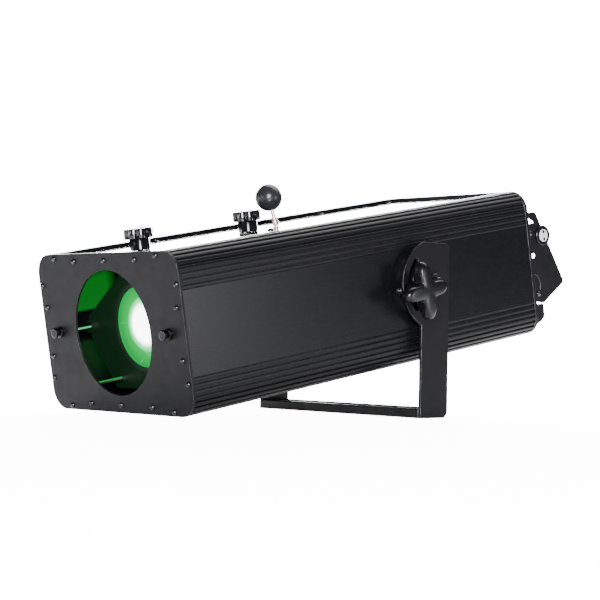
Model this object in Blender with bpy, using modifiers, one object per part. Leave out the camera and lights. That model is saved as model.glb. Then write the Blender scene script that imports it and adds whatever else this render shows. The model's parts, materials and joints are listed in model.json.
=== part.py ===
"""A followspot: a long lensed lamp housing that tilts in a free-standing yoke.

Metres, +Z up. The yoke stands on z = 0 with the origin at the middle of its base, and the beam leaves
towards -Y. The housing and all that it carries are placed in the housing's own frame: x across, y back
from the front face, z up from the beam axis. That frame hangs on the tilt axis, nose down at rest.
"""

from math import acos, asin, atan2, cos, hypot, pi, radians, sin, tan, tau

import bmesh
import bpy
from mathutils import Matrix

# Steps round a circle
LARGE_STEPS = 32
MEDIUM_STEPS = 20
SMALL_STEPS = 14
TINY_STEPS = 12

# Modelling
MERGE_DISTANCE = 0.00001
EMPTY_SIZE = 0.03
SETBACK_LIMIT = 0.49

# Fits
SEAT_GAP = 0.0003
RUN_GAP = 0.0004

# Housing shell
HOUSING_WIDTH = 0.280
HOUSING_HEIGHT = 0.1894
SHELL_LENGTH = 0.5722
CORNER_RADIUS = 0.0245
SIDE_PANEL_HEIGHT = 0.099
TOP_PANEL_WIDTH = 0.210
TOP_PANEL_RECESS = 0.004
SIDE_PANEL_INSET = 0.0005
PANEL_THICKNESS = 0.0015
CORNER_WALL = 0.002
LIP_WIDTH = 0.008
RIB_COUNT = 10
RIB_CREST = 0.0046
RIB_DEPTH = 0.0022
RIB_CROWN = 0.0004
FRONT_PLATE_THICKNESS = 0.003
REAR_PLATE_THICKNESS = 0.005
APERTURE_RADIUS = 0.0745

# Tilt
PIVOT_FROM_FRONT = 0.3837
PIVOT_HEIGHT = 0.166
NOSE_DOWN = radians(10)
TILT_UP = radians(50)
TILT_DOWN = radians(30)

# Yoke
YOKE_DEPTH = 0.047
YOKE_THICKNESS = 0.004
YOKE_CLEARANCE = 0.010
BASE_HEIGHT = 0.012
FOLD_EDGE = 0.001
FLANGE_EDGE = 0.0018
BASE_HOLE_RADIUS = 0.0065
BASE_HOLE_SPACING = 0.100
EAR_RADIUS = 0.0565
ARM_FOOT_RADIUS = 0.009
ARM_TOP_RADIUS = 0.006

# Pivot and tilt lock
TRUNNION_LENGTH = 0.110
TRUNNION_HEIGHT = 0.080
TRUNNION_ROUND = 0.006
PIVOT_BOSS_RADIUS = 0.012
PIVOT_BOLT_RADIUS = 0.005
PIVOT_BOLT_HEAD_RADIUS = 0.009
PIVOT_BOLT_HEAD_HEIGHT = 0.006
PIVOT_WASHER_RADIUS = 0.013
PIVOT_WASHER_THICKNESS = 0.0015
LOCK_RADIUS = 0.0438
LOCK_DROP_ANGLE = radians(2.6)
LOCK_STUD_RADIUS = 0.003
LOCK_SHOULDER_RADIUS = 0.006
LOCK_SLOT_WIDTH = 0.008
LOCK_KNOB_RADIUS = 0.036
LOCK_KNOB_WAIST = 0.0135
LOCK_KNOB_THICKNESS = 0.015
LOCK_KNOB_LOBES = 4
LOCK_KNOB_LOBE_POWER = 1.2
LOCK_KNOB_EDGE = 0.003
LOCK_KNOB_BOSS_RADIUS = 0.012
LOCK_KNOB_BOSS_HEIGHT = 0.0175

# Guide rods
UPPER_ROD_X = 0.1085
UPPER_ROD_RADIUS = 0.004
LOWER_ROD_X = 0.067
LOWER_ROD_DROP = 0.0655
LOWER_ROD_RADIUS = 0.0035
SPOOL_RADIUS = 0.007
SPOOL_NECK_RADIUS = 0.0045
SPOOL_CAP_RADIUS = 0.0064
SPOOL_FLANGE_LENGTH = 0.0028
SPOOL_NECK_LENGTH = 0.003
SPOOL_SLOPE = 0.0008
SPOOL_LENGTH = 0.010

# Lens carriages
FRONT_CARRIAGE_Y = 0.055
REAR_CARRIAGE_Y = 0.222
CARRIAGE_THICKNESS = 0.008
CARRIAGE_TOP = 0.078
CARRIAGE_TOP_WIDTH = 0.044
BEARING_RADIUS = 0.008
BEARING_LENGTH = 0.025
LENS_RADIUS = 0.0505
LENS_EDGE = 0.005
LENS_CROWN = 0.007
CELL_WALL = 0.003
CELL_LIP = 0.002
CELL_LENGTH = 0.016
CELL_SETBACK = 0.001
CARRIAGE_EDGE = 0.003
CARRIAGE_SHOULDER = 0.006
CARRIAGE_SHOULDER_RATIO = 0.86
CARRIAGE_ROUND = 0.006
FOCUS_STEM_ROOT = 0.010
FOCUS_STEM_RADIUS = 0.003
FOCUS_STEM_ENGAGEMENT = 0.009
FRONT_TRAVEL_OUT = 0.006
FRONT_TRAVEL_IN = 0.080
REAR_TRAVEL_OUT = 0.050
REAR_TRAVEL_IN = 0.020
TOP_SLOT_WIDTH = 0.008

# Focus lock knobs
FOCUS_KNOB_RADIUS = 0.018
FOCUS_KNOB_HEAD_HEIGHT = 0.0125
FOCUS_KNOB_COLLAR_RADIUS = 0.0121
FOCUS_KNOB_COLLAR_HEIGHT = 0.0135
FOCUS_KNOB_SCALLOPS = 8
FOCUS_KNOB_SCALLOP_DEPTH = 0.0022
FOCUS_KNOB_EDGE = 0.001

# Iris
LEVER_Y = 0.285
LEVER_LEAN = radians(-12.6)
LEVER_SWING = radians(23.5)
LEVER_ROD_RADIUS = 0.0025
LEVER_COLLAR_RADIUS = 0.0038
LEVER_COLLAR_HEIGHT = 0.006
BALL_RADIUS = 0.0172
BALL_CENTRE = 0.1305
BALL_ENGAGEMENT = 0.005
IRIS_BLADE_COUNT = 6
IRIS_APERTURE_RADIUS = 0.024
IRIS_PIN_CIRCLE = 0.050
IRIS_PIN_RADIUS = 0.0015
IRIS_CUP_RADIUS = 0.062
IRIS_CUP_WALL = 0.002
IRIS_RING_THICKNESS = 0.002
IRIS_RING_STEP = 0.004
IRIS_CUP_OVERHANG = 0.001
BAY_ROUND_EXTRA = 0.004
BLADE_THICKNESS = 0.0004
BLADE_GAP = 0.00035
BLADE_SPAN = radians(105)
BLADE_TAIL = radians(10)
BLADE_COVER = 0.0005
BLADE_PIN_CLEARANCE = 0.002
BLADE_PIN_RATIO = 0.7
GATE_THICKNESS = 0.003

# Colour wheel
WHEEL_OFFSET = 0.046
WHEEL_RADIUS = 0.068
WHEEL_HUB_RADIUS = 0.020
WHEEL_FLANGE_RADIUS = 0.024
WHEEL_FLANGE_THICKNESS = 0.0015
COLOUR_GLASS_THICKNESS = 0.0011
WHEEL_SHAFT_RADIUS = 0.0025
MOTOR_WIDTH = 0.035
MOTOR_LENGTH = 0.020
MOTOR_EDGE = 0.002
WHEEL_FROM_MOTOR = 0.004

# Lamp and cooling
LAMP_Y = 0.372
LAMP_BOARD_SIZE = 0.096
LAMP_BOARD_THICKNESS = 0.004
LAMP_BOARD_ROUND = 0.004
OPTIC_LENGTH = 0.034
OPTIC_FRONT_RADIUS = 0.026
OPTIC_BACK_RADIUS = 0.034
OPTIC_COLLAR_LENGTH = 0.012
OPTIC_DOME_HEIGHT = 0.003
OPTIC_DOME_RADIUS = 0.0195
OPTIC_DOME_FLAT = 0.0008
HEAT_SINK_HEIGHT = 0.124
HEAT_SINK_BASE = 0.010
HEAT_SINK_DEPTH = 0.085
FIN_COUNT = 16
FIN_THICKNESS = 0.003
FIN_PITCH = 0.0088
FAN_WIDTH = 0.092
FAN_DEPTH = 0.025
FAN_ROUND = 0.005
FAN_DUCT_RADIUS = 0.0425
FAN_HUB_RADIUS = 0.018
FAN_BLADE_COUNT = 7
FAN_BLADE_THICKNESS = 0.002
FAN_BLADE_PITCH = radians(38)
FAN_BLADE_CHORD = 0.020
FAN_TIP_GAP = 0.001
FAN_STRUT_WIDTH = 0.006
FAN_STRUT_DEPTH = 0.003
FAN_STRUT_ROOT = 0.001
FAN_BLADE_ROOT = 0.003

# Power supply
SUPPLY_WIDTH = 0.180
SUPPLY_HEIGHT = 0.042
SUPPLY_EDGE = 0.0015
SUPPLY_BACK_CLEARANCE = 0.0095
SUPPLY_FRONT_CLEARANCE = 0.0077

# Vents in the bottom panel
VENT_COUNT = 10
VENT_WIDTH = 0.0035
VENT_LENGTH = 0.110
VENT_PITCH = 0.009
VENT_FIRST_Y = 0.395

# Rear cheeks and handle
CHEEK_X = 0.127
CHEEK_THICKNESS = 0.003
CHEEK_TOP_DROP = 0.0287
CHEEK_COVER_GAP = 0.0009
CHEEK_BACK_RISE = 0.0076
CHEEK_SHOULDER_DEPTH = 0.0255
CHEEK_SHOULDER_DROP = 0.0025
CHEEK_TIP_DEPTH = 0.0683
CHEEK_TIP_RISE = 0.0226
CHEEK_KEEL_DEPTH = 0.0241
CHEEK_BACK_ROUND = 0.001
CHEEK_SHOULDER_ROUND = 0.004
CHEEK_TIP_ROUND = 0.005
CHEEK_KEEL_ROUND = 0.006
CHEEK_WINDOW_ROUND = 0.0012
CHEEK_WINDOW_START = 0.0035
CHEEK_WINDOW_SHOULDER = 0.0125
CHEEK_WINDOW_END = 0.0255
CHEEK_WINDOW_DROP = 0.0075
CHEEK_WINDOW_HEIGHT = 0.009
CHEEK_SLOT_START = 0.0030
CHEEK_SLOT_END = 0.0195
CHEEK_SLOT_WIDTH = 0.0068
CHEEK_SLOT_Z = 0.0069
HANDLE_DEPTH = 0.0339
HANDLE_Z = 0.0315
HANDLE_RADIUS = 0.010
HANDLE_CAP_RADIUS = 0.0115
HANDLE_EAR_RADIUS = 0.0135
HANDLE_CAP_LENGTH = 0.0025

# Rear console
CONSOLE_HALF_WIDTH = 0.088
CONSOLE_TOP = 0.014
CONSOLE_COVER_GAP = 0.0035
CONSOLE_BACK_RISE = 0.005
CONSOLE_LIP_RISE = 0.018
CONSOLE_EDGE_INSET = 0.0046
CONSOLE_WALL = 0.002
FOLD_ROUND = 0.002
LIP_ROUND = 0.003
BUTTON_COUNT = 4
BUTTON_RADIUS = 0.004
BUTTON_PITCH = 0.014
BUTTON_HEIGHT = 0.0025
BUTTON_EDGE = 0.0004
BUTTON_FLANGE_RADIUS = 0.0055
BUTTON_FLANGE_THICKNESS = 0.0015
BUTTON_ROW_X = 0.010
DIAL_RADIUS = 0.010
DIAL_TOP_RADIUS = 0.0089
DIAL_HEIGHT = 0.012
DIAL_SKIRT_HEIGHT = 0.0014
DIAL_EDGE = 0.0008
DIAL_SHAFT_RADIUS = 0.003
DIAL_SHAFT_DEPTH = 0.009
DIAL_X = -0.063
DIAL_PITCH = 0.030
WINDOW_LENGTH = 0.060
WINDOW_WIDTH = 0.018
WINDOW_DEPTH = 0.0008
WINDOW_X = 0.031
FACE_ROW_SPACING = 0.026

# Lower rear cover
COVER_HALF_WIDTH = 0.128
COVER_HEIGHT = 0.025
COVER_RISE = 0.0112
COVER_DEPTH = 0.0256
COVER_FACE_HEIGHT = 0.017
COVER_BEVEL_DEPTH = 0.0065
COVER_TOE_DEPTH = 0.0165
COVER_TOE_RISE = 0.0025

# Sockets beside the console
SOCKET_X = 0.1075
INLET_WIDTH = 0.027
INLET_HEIGHT = 0.032
INLET_Z = -0.024
INLET_FLANGE = 0.003
INLET_DEPTH = 0.016
INLET_WALL = 0.0025
SWITCH_WIDTH = 0.015
SWITCH_HEIGHT = 0.021
SWITCH_Z = 0.022
SWITCH_DEPTH = 0.009
SWITCH_SWING = radians(12)
SWITCH_EDGE = 0.0008
DATA_SOCKET_RADIUS = 0.0105
DATA_SOCKET_SPACING = 0.032
DATA_PLATE_WIDTH = 0.030
DATA_PLATE_HEIGHT = 0.064
DATA_PLATE_THICKNESS = 0.0025
DATA_PLATE_ROUND = 0.002
DATA_SOCKET_DEPTH = 0.015
DATA_SOCKET_WALL = 0.0015
DATA_Z = -0.012

# Places worked out from the sizes above
half_width = HOUSING_WIDTH / 2
half_height = HOUSING_HEIGHT / 2
shell_front = FRONT_PLATE_THICKNESS + SEAT_GAP
shell_back = shell_front + SHELL_LENGTH
rear_plate_y = shell_back + SEAT_GAP
rear_face = rear_plate_y + REAR_PLATE_THICKNESS
top_face_z = half_height - TOP_PANEL_RECESS
panel_under_z = top_face_z - PANEL_THICKNESS
side_face_x = half_width - SIDE_PANEL_INSET
side_inner_x = side_face_x - PANEL_THICKNESS
lip_top_z = panel_under_z - SEAT_GAP
lip_side_x = side_inner_x - SEAT_GAP
bay_half_width = lip_side_x - CORNER_WALL
bay_half_height = lip_top_z - CORNER_WALL
bay_x = bay_half_width - SEAT_GAP
bay_z = bay_half_height - SEAT_GAP
arm_inner_x = half_width + YOKE_CLEARANCE
arm_outer_x = arm_inner_x + YOKE_THICKNESS
gate_y = LEVER_Y + IRIS_RING_THICKNESS / 2 + IRIS_BLADE_COUNT * (BLADE_THICKNESS + BLADE_GAP) + BLADE_GAP
gate_back = gate_y + GATE_THICKNESS
lock_y = PIVOT_FROM_FRONT - LOCK_RADIUS * cos(LOCK_DROP_ANGLE)
lock_z = -LOCK_RADIUS * sin(LOCK_DROP_ANGLE)
cover_bottom = COVER_RISE - half_height
cover_top = cover_bottom + COVER_HEIGHT
cheek_top = half_height - CHEEK_TOP_DROP
cheek_keel_z = cover_top + CHEEK_COVER_GAP
cheek_tip_z = cheek_keel_z + CHEEK_TIP_RISE
cheek_window_top = cheek_top - CHEEK_WINDOW_DROP
console_keel_z = cover_top + CONSOLE_COVER_GAP
console_lip_z = console_keel_z + CONSOLE_LIP_RISE
slope_y = CHEEK_TIP_DEPTH - CHEEK_SHOULDER_DEPTH
slope_z = cheek_top - CHEEK_SHOULDER_DROP - cheek_tip_z
slope_length = hypot(slope_y, slope_z)
face_normal = (slope_z / slope_length, slope_y / slope_length)


# Scene and materials

def clear_scene():
    for old in list(bpy.data.objects):
        bpy.data.objects.remove(old, do_unlink=True)


def collection(name):
    made = bpy.data.collections.new(name)
    bpy.context.scene.collection.children.link(made)
    return made


def material(name, colour, roughness, metallic=0.0):
    made = bpy.data.materials.new(name)
    made.use_nodes = True
    shader = made.node_tree.nodes["Principled BSDF"]
    shader.inputs["Base Color"].default_value = (*colour, 1)
    shader.inputs["Roughness"].default_value = roughness
    shader.inputs["Metallic"].default_value = metallic
    made.diffuse_color = (*colour, 1)
    return made


clear_scene()
parts = collection("followspot")
cutters = collection("cutters")

SATIN_BLACK = ((0.035, 0.035, 0.038), 0.45, 0.0)
PANEL_BLACK = ((0.050, 0.052, 0.056), 0.50, 0.0)
GLOSS_BLACK = ((0.012, 0.012, 0.013), 0.15, 0.0)
BLACK_METAL = ((0.040, 0.040, 0.043), 0.40, 0.6)
STEEL = ((0.55, 0.55, 0.56), 0.30, 1.0)
ALUMINIUM = ((0.65, 0.66, 0.67), 0.40, 1.0)
DARK_STEEL = ((0.10, 0.10, 0.11), 0.35, 0.9)
GLASS = ((0.85, 0.95, 0.90), 0.05, 0.0)
GREEN_GLASS = ((0.05, 0.80, 0.15), 0.05, 0.0)
PLASTIC = ((0.020, 0.020, 0.022), 0.55, 0.0)
GREY_PLASTIC = ((0.35, 0.36, 0.37), 0.50, 0.0)


def empty(name, parent=None, location=(0, 0, 0), rotation=(0, 0, 0)):
    made = bpy.data.objects.new(name, None)
    made.empty_display_size = EMPTY_SIZE
    parts.objects.link(made)
    made.parent = parent
    made.location = location
    made.rotation_euler = rotation
    return made


tilt_axis = empty("tilt_axis", location=(0, 0, PIVOT_HEIGHT), rotation=(NOSE_DOWN, 0, 0))
housing_datum = empty("housing_datum", tilt_axis, (0, -PIVOT_FROM_FRONT, 0))


# Turned axis: the local Z of a turned or round piece points this way
ALONG = {"X": (0, pi / 2, 0), "Y": (-pi / 2, 0, 0), "Z": (0, 0, 0)}
# Facing: the plane of a flat outline, given by its normal
FACING = {
    "X": Matrix(((0, 0, 1, 0), (1, 0, 0, 0), (0, 1, 0, 0), (0, 0, 0, 1))),
    "Y": Matrix(((1, 0, 0, 0), (0, 0, -1, 0), (0, 1, 0, 0), (0, 0, 0, 1))),
    "Z": Matrix.Identity(4),
}


# Outlines

def distance_between(first, second):
    return hypot(first[0] - second[0], first[1] - second[1])


def arc(centre, radius, start, end, steps):
    """Points of an arc from one angle to the other, both ends included."""
    return [
        (
            centre[0] + radius * cos(start + (end - start) * step / steps),
            centre[1] + radius * sin(start + (end - start) * step / steps),
        )
        for step in range(steps + 1)
    ]


def circle(centre, radius, steps=LARGE_STEPS):
    return arc(centre, radius, 0, tau * (steps - 1) / steps, steps - 1)


def rectangle(centre, width, height):
    x, y = centre
    return [
        (x - width / 2, y - height / 2),
        (x + width / 2, y - height / 2),
        (x + width / 2, y + height / 2),
        (x - width / 2, y + height / 2),
    ]


def filleted(corners, radius, steps=5):
    """The outline with its corners rounded; radius is one number, or one for each corner."""
    radii = radius if isinstance(radius, (list, tuple)) else [radius] * len(corners)
    points = []
    for index, (corner, size) in enumerate(zip(corners, radii)):
        before = corners[index - 1]
        after = corners[(index + 1) % len(corners)]
        if size == 0:
            points.append(corner)
            continue
        into = (before[0] - corner[0], before[1] - corner[1])
        out = (after[0] - corner[0], after[1] - corner[1])
        into_length = hypot(*into)
        out_length = hypot(*out)
        into = (into[0] / into_length, into[1] / into_length)
        out = (out[0] / out_length, out[1] / out_length)
        half_angle = acos(into[0] * out[0] + into[1] * out[1]) / 2
        setback = min(size / tan(half_angle), SETBACK_LIMIT * min(into_length, out_length))
        size = setback * tan(half_angle)
        bisector = (into[0] + out[0], into[1] + out[1])
        bisector_length = hypot(*bisector)
        reach = size / sin(half_angle) / bisector_length
        centre = (corner[0] + bisector[0] * reach, corner[1] + bisector[1] * reach)
        start = atan2(corner[1] + into[1] * setback - centre[1], corner[0] + into[0] * setback - centre[0])
        end = atan2(corner[1] + out[1] * setback - centre[1], corner[0] + out[0] * setback - centre[0])
        turn = (end - start + pi) % tau - pi
        points += arc(centre, size, start, start + turn, steps)
    return points


def curved_slot(centre, radius, start, end, width, steps=8):
    """A slot that follows an arc, with round ends whose centres are at the start and end angles."""
    first = arc(centre, radius, start, end, 1)
    outer = arc(centre, radius + width / 2, start, end, steps)
    far_end = arc(first[1], width / 2, end, end + pi, 4)
    inner = arc(centre, radius - width / 2, end, start, steps)
    near_end = arc(first[0], width / 2, start + pi, start + tau, 4)
    return outer + far_end + inner + near_end


def slot_outline(start, end, width, steps=6):
    """A straight slot with round ends whose centres are start and end."""
    heading = atan2(end[1] - start[1], end[0] - start[0])
    near = arc(start, width / 2, heading + pi / 2, heading + 3 * pi / 2, steps)
    far = arc(end, width / 2, heading - pi / 2, heading + pi / 2, steps)
    return near + far


# Solids

def link(made, parent, location, rotation, group):
    group.objects.link(made)
    made.parent = parent
    made.location = location
    made.rotation_euler = rotation
    return made


def finish(made, look):
    """Gives a sub-part its own material and smooth shading on its round faces."""
    made.data.materials.clear()
    made.data.materials.append(material(made.name, *look))
    made.data.shade_smooth()
    made.data.set_sharp_from_angle(angle=radians(35))
    return made


def plate(name, outline, thickness, facing, parent=None, location=(0, 0, 0), holes=(), group=None):
    """A flat piece: an outline with its holes, made as thick as asked, half to each side of its place."""
    curve = bpy.data.curves.new(name, "CURVE")
    curve.dimensions = "2D"
    curve.fill_mode = "BOTH"
    curve.extrude = thickness / 2
    for loop in [outline, *holes]:
        loop = [
            point for index, point in enumerate(loop)
            if distance_between(point, loop[index - 1]) > MERGE_DISTANCE
        ]
        spline = curve.splines.new("POLY")
        spline.points.add(len(loop) - 1)
        for point, (u, v) in zip(spline.points, loop):
            point.co = (u, v, 0, 1)
        spline.use_cyclic_u = True
    guide = bpy.data.objects.new(name + "_outline", curve)
    cutters.objects.link(guide)
    bpy.context.view_layer.update()
    evaluated = guide.evaluated_get(bpy.context.evaluated_depsgraph_get())
    mesh = bpy.data.meshes.new_from_object(evaluated)
    bpy.data.objects.remove(guide, do_unlink=True)
    shape = bmesh.new()
    shape.from_mesh(mesh)
    bmesh.ops.remove_doubles(shape, verts=shape.verts, dist=MERGE_DISTANCE)
    bmesh.ops.transform(shape, matrix=FACING[facing], verts=shape.verts)
    shape.to_mesh(mesh)
    shape.free()
    mesh.name = name
    made = bpy.data.objects.new(name, mesh)
    return link(made, parent, location, (0, 0, 0), group or parts)


def block(name, size, parent=None, location=(0, 0, 0), rotation=(0, 0, 0), group=None):
    mesh = bpy.data.meshes.new(name)
    shape = bmesh.new()
    bmesh.ops.create_cube(shape, size=1)
    bmesh.ops.scale(shape, vec=size, verts=shape.verts)
    shape.to_mesh(mesh)
    shape.free()
    return link(bpy.data.objects.new(name, mesh), parent, location, rotation, group or parts)


def rod(name, radius, start, end, axis, parent=None, location=(0, 0, 0), steps=SMALL_STEPS, group=None):
    """A round bar from start to end along an axis through its place."""
    mesh = bpy.data.meshes.new(name)
    shape = bmesh.new()
    bmesh.ops.create_cone(
        shape, cap_ends=True, segments=steps, radius1=radius, radius2=radius, depth=end - start
    )
    bmesh.ops.translate(shape, vec=(0, 0, (start + end) / 2), verts=shape.verts)
    shape.to_mesh(mesh)
    shape.free()
    made = bpy.data.objects.new(name, mesh)
    return link(made, parent, location, ALONG[axis], group or parts)


def turned(name, profile, axis, parent=None, location=(0, 0, 0), steps=LARGE_STEPS, closed=False, group=None):
    """A turned piece. The profile is (radius, place along the axis), from the top down its outer side."""
    mesh = bpy.data.meshes.new(name)
    points = [(radius, 0, along) for radius, along in profile]
    edges = [(index, index + 1) for index in range(len(points) - 1)]
    if closed:
        edges.append((len(points) - 1, 0))
    mesh.from_pydata(points, edges, [])
    made = bpy.data.objects.new(name, mesh)
    link(made, parent, location, ALONG[axis], group or parts)
    screw = made.modifiers.new("Turn", "SCREW")
    screw.axis = "Z"
    screw.steps = steps
    screw.render_steps = steps
    screw.use_merge_vertices = True
    screw.merge_threshold = MERGE_DISTANCE
    weld = made.modifiers.new("Close poles", "WELD")
    weld.merge_threshold = MERGE_DISTANCE
    return made


def boolean(target, tool, operation):
    """Adds, cuts or trims with another shape, which stays in the cutters' collection."""
    if tool.name not in cutters.objects:
        for group in tool.users_collection:
            group.objects.unlink(tool)
        cutters.objects.link(tool)
    tool.hide_render = True
    tool.display_type = "WIRE"
    step = target.modifiers.new(tool.name, "BOOLEAN")
    step.operation = operation
    step.solver = "EXACT"
    step.object = tool
    return target


def cut(target, tool):
    return boolean(target, tool, "DIFFERENCE")


def unite(target, tool):
    return boolean(target, tool, "UNION")


def bevelled(made, width, segments=2, angle=radians(40)):
    step = made.modifiers.new("Edges", "BEVEL")
    step.width = width
    step.segments = segments
    step.limit_method = "ANGLE"
    step.angle_limit = angle
    step.harden_normals = False
    return made


# Yoke

def make_yoke_base():
    half = YOKE_DEPTH / 2
    wall = YOKE_THICKNESS
    section = filleted(
        [
            (-half, 0),
            (half, 0),
            (half, BASE_HEIGHT),
            (half - wall, BASE_HEIGHT),
            (half - wall, wall),
            (-half + wall, wall),
            (-half + wall, BASE_HEIGHT),
            (-half, BASE_HEIGHT),
        ],
        [FOLD_EDGE, FOLD_EDGE, FLANGE_EDGE, FLANGE_EDGE, 0, 0, FLANGE_EDGE, FLANGE_EDGE],
        3,
    )
    base = plate("yoke_base", section, 2 * (arm_inner_x - SEAT_GAP), "X")
    for side in (-1, 1):
        place = (side * BASE_HOLE_SPACING / 2, 0, 0)
        name = f"base_hole_{side}"
        cut(base, rod(name, BASE_HOLE_RADIUS, -wall, 2 * wall, "Z", base, place, SMALL_STEPS, cutters))
    return finish(base, BLACK_METAL)


def make_yoke_arm(name, side):
    half = YOKE_DEPTH / 2
    pivot = (0, PIVOT_HEIGHT)
    ear_half_angle = acos(half / EAR_RADIUS)
    top_z = PIVOT_HEIGHT + EAR_RADIUS * sin(ear_half_angle)
    ear = arc(pivot, EAR_RADIUS, pi + ear_half_angle, pi - ear_half_angle, 14)
    top = arc((half - ARM_TOP_RADIUS, top_z - ARM_TOP_RADIUS), ARM_TOP_RADIUS, pi / 2, 0, 4)
    foot = arc((half - ARM_FOOT_RADIUS, ARM_FOOT_RADIUS), ARM_FOOT_RADIUS, 0, -pi / 2, 5)
    outline = [(-half, 0), *ear, *top, *foot]
    rest = pi + LOCK_DROP_ANGLE + NOSE_DOWN
    play = (LOCK_SLOT_WIDTH / 2 - LOCK_STUD_RADIUS) / LOCK_RADIUS
    slot = curved_slot(pivot, LOCK_RADIUS, rest - TILT_UP - play, rest + TILT_DOWN + play, LOCK_SLOT_WIDTH)
    hole = circle(pivot, PIVOT_BOLT_RADIUS + RUN_GAP, SMALL_STEPS)
    place = (side * (arm_inner_x + YOKE_THICKNESS / 2), 0, 0)
    return finish(plate(name, outline, YOKE_THICKNESS, "X", None, place, [slot, hole]), BLACK_METAL)


# Housing shell

def corner_outer(travel, depth):
    """A point on the upper right corner's outside, that far round from the side panel and that deep."""
    rise = half_height - CORNER_RADIUS - SIDE_PANEL_HEIGHT / 2 - SEAT_GAP
    bend = CORNER_RADIUS * pi / 2
    if travel < rise:
        return (half_width - depth, SIDE_PANEL_HEIGHT / 2 + SEAT_GAP + travel)
    if travel < rise + bend:
        angle = (travel - rise) / CORNER_RADIUS
        reach = CORNER_RADIUS - depth
        return (
            half_width - CORNER_RADIUS + reach * cos(angle),
            half_height - CORNER_RADIUS + reach * sin(angle),
        )
    return (half_width - CORNER_RADIUS - (travel - rise - bend), half_height - depth)


def corner_section():
    """The ribbed corner's section: ribs outside, and a lip behind each of the two panels."""
    rise = half_height - CORNER_RADIUS - SIDE_PANEL_HEIGHT / 2 - SEAT_GAP
    run = half_width - CORNER_RADIUS - TOP_PANEL_WIDTH / 2 - SEAT_GAP
    whole = rise + CORNER_RADIUS * pi / 2 + run
    pitch = (whole - RIB_CREST) / (RIB_COUNT - 1)
    outside = []
    for rib in range(RIB_COUNT):
        start = rib * pitch
        outside.append(corner_outer(start, RIB_CROWN))
        outside.append(corner_outer(start + RIB_CREST / 2, 0))
        outside.append(corner_outer(start + RIB_CREST, RIB_CROWN))
        if rib < RIB_COUNT - 1:
            outside.append(corner_outer(start + RIB_CREST + RIB_CROWN / 2, RIB_DEPTH))
            outside.append(corner_outer(start + pitch - RIB_CROWN / 2, RIB_DEPTH))
    top_edge_x = TOP_PANEL_WIDTH / 2 + SEAT_GAP
    side_edge_z = SIDE_PANEL_HEIGHT / 2 + SEAT_GAP
    centre = (half_width - CORNER_RADIUS, half_height - CORNER_RADIUS)
    bend_x = bay_half_width - centre[0]
    bend_z = bay_half_height - centre[1]
    inner_bend = [
        (centre[0] + bend_x * sin(pi / 2 * step / 5), centre[1] + bend_z * cos(pi / 2 * step / 5))
        for step in range(6)
    ]
    top_lip = [
        (top_edge_x, lip_top_z),
        (top_edge_x - LIP_WIDTH, lip_top_z),
        (top_edge_x - LIP_WIDTH, bay_half_height),
    ]
    side_lip = [
        (bay_half_width, side_edge_z - LIP_WIDTH),
        (lip_side_x, side_edge_z - LIP_WIDTH),
        (lip_side_x, side_edge_z),
    ]
    return outside + top_lip + inner_bend + side_lip


def make_corner(name, side, level):
    section = [(side * x, level * z) for x, z in corner_section()]
    place = (0, shell_front + SHELL_LENGTH / 2, 0)
    return finish(plate(name, section, SHELL_LENGTH, "Y", housing_datum, place), SATIN_BLACK)


def make_side_panel(name, side):
    outline = rectangle((shell_front + SHELL_LENGTH / 2, 0), SHELL_LENGTH, SIDE_PANEL_HEIGHT)
    boss = circle((PIVOT_FROM_FRONT, 0), PIVOT_BOSS_RADIUS + SEAT_GAP, MEDIUM_STEPS)
    shoulder = circle((lock_y, lock_z), LOCK_SHOULDER_RADIUS + SEAT_GAP, SMALL_STEPS)
    place = (side * (side_face_x - PANEL_THICKNESS / 2), 0, 0)
    panel = plate(name, outline, PANEL_THICKNESS, "X", housing_datum, place, [boss, shoulder])
    return finish(panel, PANEL_BLACK)


def focus_slot(rest_y, travel_out, travel_in):
    """The slot over a carriage, which its stem reaches the ends of at its two limits."""
    play = TOP_SLOT_WIDTH / 2 - FOCUS_STEM_RADIUS
    return slot_outline((0, rest_y - travel_out - play), (0, rest_y + travel_in + play), TOP_SLOT_WIDTH)


def make_top_panel():
    outline = rectangle((0, shell_front + SHELL_LENGTH / 2), TOP_PANEL_WIDTH, SHELL_LENGTH)
    steepest = max(abs(LEVER_LEAN), abs(LEVER_LEAN + LEVER_SWING))
    reach = TOP_SLOT_WIDTH / 2 - LEVER_ROD_RADIUS + top_face_z * tan(steepest)
    slots = [
        focus_slot(FRONT_CARRIAGE_Y, FRONT_TRAVEL_OUT, FRONT_TRAVEL_IN),
        focus_slot(REAR_CARRIAGE_Y, REAR_TRAVEL_OUT, REAR_TRAVEL_IN),
        slot_outline((-reach, LEVER_Y), (reach, LEVER_Y), TOP_SLOT_WIDTH),
    ]
    place = (0, 0, top_face_z - PANEL_THICKNESS / 2)
    return finish(plate("top_panel", outline, PANEL_THICKNESS, "Z", housing_datum, place, slots), GLOSS_BLACK)


def make_bottom_panel():
    outline = rectangle((0, shell_front + SHELL_LENGTH / 2), TOP_PANEL_WIDTH, SHELL_LENGTH)
    vents = []
    for vent in range(VENT_COUNT):
        vents.append(rectangle((0, VENT_FIRST_Y + vent * VENT_PITCH), VENT_LENGTH, VENT_WIDTH))
    place = (0, 0, -(top_face_z - PANEL_THICKNESS / 2))
    panel = plate("bottom_panel", outline, PANEL_THICKNESS, "Z", housing_datum, place, vents)
    return finish(panel, PANEL_BLACK)


def end_outline():
    return filleted(rectangle((0, 0), HOUSING_WIDTH, HOUSING_HEIGHT), CORNER_RADIUS, 8)


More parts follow.
